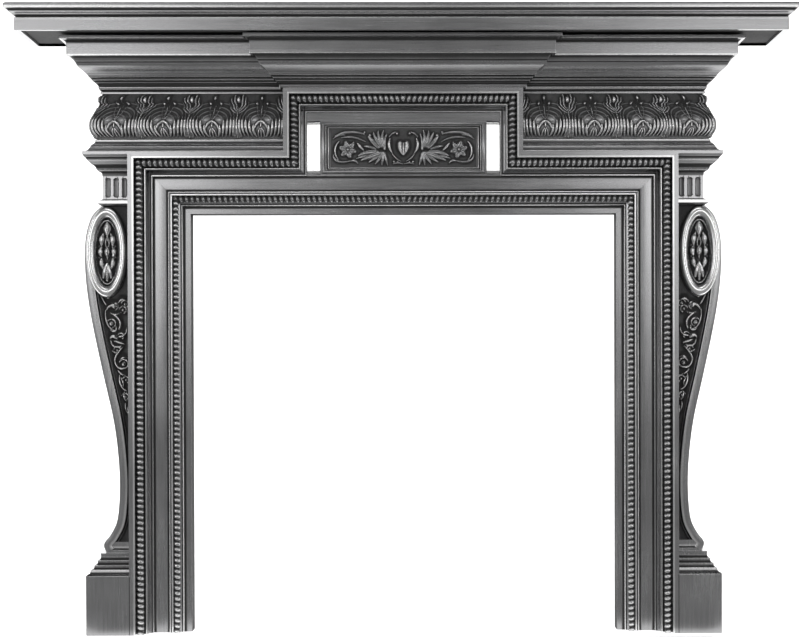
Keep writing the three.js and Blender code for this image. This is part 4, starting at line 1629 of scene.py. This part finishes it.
    def add_rosette(self, casting: Casting) -> None:
        """Adds the dish in the hoop: rounded petals round a long boss, inside a thin rim.

        Args:
            casting: the piece that gets it.
        """
        x, y = np.meshgrid(*(
            np.linspace(-half - self.dish_lap, half + self.dish_lap, int(half * self.dish_density))
            for half in self.dish
        ))
        relief = Relief(x, y)
        ring = np.hypot(x / self.dish[0], y / self.dish[1])
        relief.height = self.rim_height * np.exp(-(((ring - self.rim_place) / self.rim_width) ** 2))
        relief.carve(self.rosette)
        place = self.place(self.oval_reach + x, self.centre + y, self.ground + relief.height)
        light_and_wear = relief.light_and_wear(self.rosette_rub_and_light)
        casting.add_plate(*np.moveaxis(place, -1, 0), self.ground - self.thickness, light_and_wear)

    def carve_vine(self, relief: Relief) -> None:
        """Carves the vine: running scrolls with leaves, and a ball in the eye of each.

        Args:
            relief: the carving that gets it.
        """
        relief.carve([self.vine])
        base, gain = self.ball_lift
        for x, y, size in self.balls:
            relief.bud(x, y, size, size, base + gain * size)
            coil = coil_of((x, y), (size + self.coil_gaps[0], size + self.coil_gaps[1]), self.coil_turn)
            relief.stroke(coil, self.coil_widths, self.coil_lift)

    def add_carving(self, casting: Casting, line: Array) -> None:
        """Adds the carved ground inside the strap, with a hole for the rosette's dish.

        Args:
            casting: the piece that gets it.
            line: the outline, as points of (reach, level).
        """
        rows = int(SIZES.scroll_height / self.row_height)
        level = np.linspace(SIZES.scroll_base, SIZES.scroll_top, rows)[:, None]
        far = np.interp(level, line[:, 1], line[:, 0]) - self.strap_lap
        x = -self.inner_lap + (far + self.inner_lap) * np.linspace(0, 1, self.columns)
        y = np.broadcast_to(level, x.shape)
        relief = Relief(x, y)
        self.carve_vine(relief)
        wide, high = (half + self.hole_rim for half in self.dish)
        hole = ((x - self.oval_reach) / wide) ** 2 + ((y - self.centre) / high) ** 2 < 1
        light_and_wear = relief.light_and_wear(self.vine_rub_and_light)
        place = self.place(x, y, self.ground + np.where(hole, -self.hole_depth, relief.height))
        casting.add_plate(*np.moveaxis(place, -1, 0), self.ground - self.carving_depth, light_and_wear)

    def build(self, finish: bpy.types.Material, leg: Leg) -> None:
        """Builds the console's pieces.

        Args:
            finish: material of the pieces.
            leg: the leg that it belongs to.
        """
        line = self.line()
        body = Casting(leg.named("console"))
        self.add_strap(body, line)
        self.add_ground(body, line)
        self.add_hoop(body)
        body.finish([leg.node], "leg_iron", finish)
        carving = Casting(leg.named("console_carving"), CARVED)
        self.add_carving(carving, line)
        self.add_rosette(carving)
        carving.finish([leg.node], "leg_iron", finish)


@dataclass
class Tablet:
    """The raised tablet: a mitred frame round a foliage panel, between two sloping side faces."""

    half_width: float = 175.5
    height: float = 107.0
    base: float = 6.0
    side: float = 20.5
    rail: float = 14.0
    ground: float = 70.0
    frame: tuple[Member, ...] = (
        Member(6.8, 79, 79, bow=1.4),
        Member(1.6, 73, 73),
        Member(2.4, 77, 77, bow=0.8),
        Member(3.0, 72, 72),
        Member(3.2, 75, 73.5, bow=0.6),
        Member(3.5, 71, 69),
    )
    wing_width: float = 29.0
    wing_tilt: float = 4.2
    wing_rise: float = 2.0
    wing_gap: float = 2.5
    wing_laps: tuple[float, float] = (3.0, 5.0)
    wing_end: float = 9.0
    wing_round: float = 5.0
    # painted reflection on the sloping side faces
    wing_reflection: float = 0.24
    panel_lap: float = 1.0
    density: float = 2.9
    # painted shade on the panel's ground and painted highlight on its relief
    rub_and_light: RubAndLight = RubAndLight(ground=0.14, low=1.0, gain=0.05, rise=7, share=0.6, base=-0.10)
    flower: tuple[float, float] = (119.0, -3.0)
    petals: int = 6
    petal_turn: float = 15.0
    petal_reach: tuple[float, float] = (4.0, 14.5)
    petal_widths: tuple[float, ...] = (2.8, 6.4, 7.4, 5.4)
    petal_lift: float = 7.0
    petal_vein: float = 0.3
    boss: tuple[float, float, float] = (3.6, 3.6, 8.5)
    scroll_radii: tuple[float, float] = (29, 25)
    scroll_turn: tuple[float, float] = (-42, 42)
    scroll_widths: tuple[float, ...] = (1.2, 3.0, 3.0, 1.4)
    scroll_lift: float = 9.0
    heart: Motif = Motif((
        (((7.5, 11), (9, -2), (1.5, -15)), (5.5, 6.4, 4.6, 1.5), 13.0),
        (((0, 10), (0, -14)), (3.0, 4.2, 3.0), 10.5),
    ))
    foliage: Motif = Motif((
        (((146, 26), (128, 36), (104, 36), (84, 30)), (1.6, 3.6, 3.4, 2.0), 4.6),
        (((150, 20), (140, 30), (126, 28)), (1.4, 2.6, 1.4), 4.0),
        (((132, 22), (112, 26), (96, 22), (82, 14)), (1.4, 3.0, 2.6, 1.6), 4.2),
        (((150, -14), (150, -30), (132, -33), (112, -27)), (1.4, 3.0, 3.0, 1.6), 4.4),
        (((112, -28), (104, -24), (98, -32)), (1.6, 3.6, 1.8), 4.6),
        (((98, 10), (94, 4), (86, -4)), (1.6, 4.0, 2.0), 7.5),
        (((96, -16), (86, -10), (72, -8), (56, -8)), (2.0, 5.0, 6.0, 4.0), 6.0),
        (((90, -26), (78, -20), (64, -16), (48, -10)), (2.0, 5.2, 6.4, 4.0), 6.0),
        (((100, -22), (88, -18), (74, -16)), (1.4, 3.4, 2.0), 4.6),
        (((74, -30), (64, -24), (52, -16)), (1.6, 4.0, 3.0), 5.0),
        (((84, 4), (74, 4), (60, -2)), (1.4, 3.6, 3.0), 5.0),
        (((74, 24), (68, 16), (54, 2)), (3.0, 5.4, 4.4), 6.4),
        (((64, 32), (60, 20), (48, 4)), (2.0, 4.6, 4.6), 6.0),
        (((54, 36), (54, 22), (44, 4)), (2.0, 4.4, 4.4), 6.0),
        (((43, 37), (48, 22), (42, 4)), (1.6, 4.0, 4.0), 5.6),
        (((36, 30), (42, 16), (40, -2)), (1.4, 3.4, 3.4), 5.0),
        (((60, -34), (52, -24), (44, -10)), (1.4, 4.2, 3.6), 5.0),
        (((46, -36), (44, -24), (42, -10)), (1.4, 4.0, 3.4), 5.0),
        (((34, -36), (38, -24), (40, -12)), (1.4, 3.4, 3.0), 4.6),
        (((28, 20), (33, 10), (31, -2), (24, -10)), (1.6, 3.6, 3.2, 1.4), 8.5),
        (((30, 24), (24, 34), (12, 34)), (1.4, 2.2, 1.2), 4.6),
        (((24, -12), (16, -24), (6, -28)), (1.2, 2.2, 1.2), 5.0),
        (((22, -34), (12, -30), (2, -34)), (1.2, 2.4, 1.2), 4.2),
    ), (
        (13.5, 31, 3.4, 3.91, 8.0), (20.5, -29, 2.8, 3.22, 6.0), (12.5, -30, 2.6, 2.99, 5.6),
        (72, 27, 3.4, 3.91, 6.6), (83, 34, 2.6, 2.99, 4.6), (107, 12, 2.6, 2.99, 4.6),
        (140, -24, 2.6, 2.99, 4.6), (29, 14, 3.0, 3.45, 8.5),
    ), vein=0.2)

    def __post_init__(self) -> None:
        """Works out the panel's lower and upper edge."""
        self.low = SIZES.opening_height + SIZES.start("lower_step") + self.base
        self.high = self.low + self.height
        self.level = (self.low + self.high) / 2

    def route(self, t: Array) -> Array:
        """Path of the frame, inwards from its outer edge; rails are narrower than sides.

        Args:
            t: offsets from the frame's outer edge.

        Returns:
            The stations, as (stations, n, 2).
        """
        x = self.half_width - t
        rise = t * self.rail / self.side
        low, high = self.low + rise, self.high - rise
        corners = [(-x, low), (x, low), (x, high), (-x, high)]
        return np.stack([np.stack([px, py], -1) for px, py in corners])

    def carve_flower(self, relief: Relief, side: int) -> None:
        """Carves the flower of one side, in its scroll.

        Args:
            relief: the carving that gets it.
            side: -1 for left, 1 for right.
        """
        centre, mirror = np.array(self.flower), [side, 1]
        for i in range(self.petals):
            angle = math.radians(360 / self.petals * i + self.petal_turn)
            way = np.array([math.cos(angle), math.sin(angle)])
            petal = np.array([centre + reach * way for reach in self.petal_reach])
            relief.stroke(spread_of(petal * mirror), self.petal_widths, self.petal_lift, self.petal_vein)
        relief.bud(side * centre[0], centre[1], *self.boss)
        scroll = coil_of(self.flower, self.scroll_radii, self.scroll_turn)
        relief.stroke(scroll * mirror, self.scroll_widths, self.scroll_lift)

    def add_wing(self, casting: Casting, side: int) -> None:
        """Adds the sloping face on one side of the frame, rounded at its ends.

        Args:
            casting: the piece that gets it.
            side: -1 for left, 1 for right.
        """
        body = SIZES.tablet_body
        foot = dict(SIZES.architrave)["band"].start + self.wing_rise
        run = run_of([Member(self.wing_width, foot + self.wing_tilt, foot)])
        x = side * (self.half_width + self.wing_gap + run[:, 0])
        loop_x = np.concatenate([x, x[[-1, 0]]])
        loop_z = np.concatenate([run[:, 1], [body, body]])
        low, high = self.low - self.wing_laps[0], self.high + self.wing_laps[1]
        bend = np.linspace(0, 1, ROUND_POINTS)
        level = np.concatenate([low + self.wing_end * bend, high - self.wing_end * bend[::-1]])[:, None]
        drop = self.wing_round * (1 - np.sqrt(1 - (1 - bend) ** 2))
        drop = np.concatenate([drop, drop[::-1]])[:, None]
        # the sloping face gets a painted reflection, its closing faces painted shade
        worn_and_lit = np.concatenate([np.full(len(x), self.wing_reflection), [REVEAL, REVEAL]])
        casting.add(elevation(loop_x, level, np.maximum(loop_z - drop, body)), worn_and_lit)

    def build(self, finish: bpy.types.Material) -> None:
        """Builds the frame, the sloping side faces and the carved panel.

        Args:
            finish: material of the pieces.
        """
        casting = Casting("tablet_frame")
        casting.add_path(self.route, run_of(self.frame), ring=True, back=SIZES.tablet_body)
        for side in (-1, 1):
            self.add_wing(casting, side)
        casting.finish(["header"], "header_iron", finish)
        panel = Casting("tablet_panel", CARVED)
        halves = np.array([self.half_width - self.side, self.height / 2 - self.rail]) + self.panel_lap
        x, y = np.meshgrid(*(np.linspace(-half, half, int(half * self.density)) for half in halves))
        relief = Relief(x, y)
        for side in (-1, 1):
            self.carve_flower(relief, side)
        relief.carve([self.foliage, self.heart])
        height = self.ground + relief.height
        panel.add_plate(x, self.level + y, height, SIZES.tablet_body, relief.light_and_wear(self.rub_and_light))
        panel.finish(["header"], "header_iron", finish)


@dataclass(frozen=True)
class SoftBox:
    """One soft light: where it hangs, what it faces, its size and its power."""

    name: str
    place: tuple[float, float, float]
    target: tuple[float, float, float]
    size: tuple[float, float]
    power: float

    def hang(self) -> None:
        """Hangs the light."""
        data = bpy.data.lights.new(self.name, "AREA")
        data.shape = "RECTANGLE"
        data.size, data.size_y = self.size
        data.energy = self.power
        lamp = bpy.data.objects.new(self.name, data)
        lamp.location = self.place
        way = Vector(self.target) - Vector(self.place)
        lamp.rotation_euler = way.to_track_quat("-Z", "Y").to_euler()
        bpy.context.scene.collection.objects.link(lamp)


@dataclass
class Studio:
    """A round sweep of card that glows as a light of its own, soft lights and the camera."""

    inner_radii: tuple[float, ...] = (0.01, 2.0, 5.0)
    floor_radius: float = 9.0
    sweep: float = 3.0
    wall_height: float = 14.0
    stations: int = 96
    bend_points: int = 12
    behind: tuple[float, float] = (-0.08, -0.03)
    beside: tuple[float, float] = (0.64, 0.88)
    beside_shift: float = 0.45
    front_glow: float = 0.08
    glow_fall: float = 0.03
    front_card: float = 0.25
    back_card: float = 0.8
    card_roughness: float = 0.8
    sensor_width: float = 36.0
    world_glow: float = 0.06
    place: tuple[float, float, float] = (0.028, -4.535, 0.576)
    turn: tuple[float, float, float] = (89.427, 0.162, -0.728)
    shift: tuple[float, float] = (-0.0561, 0.0823)
    lens: float = 96.47
    lights: tuple[SoftBox, ...] = (
        SoftBox("left_box", (-1.63, -4.4, 1.4), (-0.3, 0, 0.8), (1.6, 1.16), 14),
        SoftBox("right_box", (1.67, -4.4, 1.4), (0.3, 0, 0.8), (1.6, 1.16), 12.5),
        SoftBox("left_strip", (-3.4, -2.2, 1.2), (-0.2, 0, 0.8), (0.8, 2.4), 18),
        SoftBox("right_strip", (3.4, -2.2, 1.2), (0.2, 0, 0.8), (0.8, 2.4), 16),
        SoftBox("overhead", (0, -2.6, 3.5), (0, 0, 0.8), (2.8, 0.8), 17),
    )

    def build_card(self) -> None:
        """Builds the sweep: a floor disc that curves up into a round wall, as a lathed profile.

        It glows white behind the object's front, a little further forward at its sides, and only dimly
        before it, where it is also painted darker.
        """
        turn = np.linspace(0, 2 * math.pi, self.stations, endpoint=False)[:, None]
        bend = np.linspace(0, math.pi / 2, self.bend_points)
        far = self.floor_radius + self.sweep
        radius = np.concatenate([self.inner_radii, self.floor_radius + self.sweep * np.sin(bend), [far]])
        height = np.concatenate([[0, 0, 0], self.sweep * (1 - np.cos(bend)), [self.wall_height]])
        points = elevation(radius * np.cos(turn), radius * np.sin(turn), height)
        rows, columns = points.shape[:2]
        ids = np.arange(rows * columns).reshape(rows, columns)
        ahead = np.roll(ids, -1, 0)
        quads = np.stack([ids[:, :-1], ids[:, 1:], ahead[:, 1:], ahead[:, :-1]], -1).reshape(-1, 4)
        mesh = bpy.data.meshes.new("backdrop")
        mesh.from_pydata(points.reshape(-1, 3), [], [*quads, ids[:, 0]])
        mesh.shade_smooth()
        card = bpy.data.objects.new("backdrop", mesh)
        bpy.context.scene.collection.objects.link(card)
        glowing = Shader("pale card")
        place = glowing.wire(glowing.node("ShaderNodeTexCoord"), "Object")
        split = glowing.node("ShaderNodeSeparateXYZ", None, Vector=place)
        x = glowing.maths("ABSOLUTE", glowing.wire(split, 0), 0.0)
        behind = glowing.wire(split, 1) + self.beside_shift * glowing.step(x, *self.beside)
        behind = glowing.step(behind, *self.behind)
        height = glowing.step(glowing.wire(split, 2), 0.0, self.sweep)
        glow = behind + (1 - behind) * (self.front_glow - self.glow_fall * height)
        front, back = ((level, level, level, 1) for level in (self.front_card, self.back_card))
        surface = glowing.node(
            "ShaderNodeBsdfPrincipled", None, Base_Color=glowing.mix(behind, front, back),
            Roughness=self.card_roughness, Emission_Color=glowing.grey(glow), Emission_Strength=1.0,
        )
        glowing.node("ShaderNodeOutputMaterial", None, Surface=glowing.wire(surface))
        mesh.materials.append(glowing.material)

    def build(self) -> None:
        """Builds the card, the lights, the world and the camera."""
        self.build_card()
        for light in self.lights:
            light.hang()
        world = bpy.data.worlds.new("studio")
        bpy.context.scene.world = world
        world.use_nodes = True
        background = world.node_tree.nodes["Background"].inputs["Color"]
        background.default_value = (self.world_glow, self.world_glow, self.world_glow, 1)
        camera = bpy.data.objects.new("camera", bpy.data.cameras.new("camera"))
        bpy.context.scene.collection.objects.link(camera)
        camera.location = self.place
        camera.rotation_euler = tuple(math.radians(angle) for angle in self.turn)
        camera.data.lens = self.lens
        camera.data.sensor_width = self.sensor_width
        camera.data.shift_x, camera.data.shift_y = self.shift
        bpy.context.scene.camera = camera
        bpy.context.scene.view_settings.view_transform = "Standard"


def main() -> None:
    """Builds the castings in order, then the studio."""
    logging.basicConfig(level=logging.INFO)
    along = IronFinish("polished_head", Grain.ALONG).material()
    upright = IronFinish("polished_leg", Grain.UPRIGHT).material()
    shelf = IronFinish("polished_shelf", Grain.ALONG).material()
    Shelf().build(shelf)
    header = Header()
    header.build_blocks(along)
    header.build_head(along)
    header.build_ropes(along)
    for side in Side:
        Frieze(side).build(along)
        Leg(side).build(upright)
    Tablet().build(along)
    Studio().build()


if __name__ == "__main__":
    main()
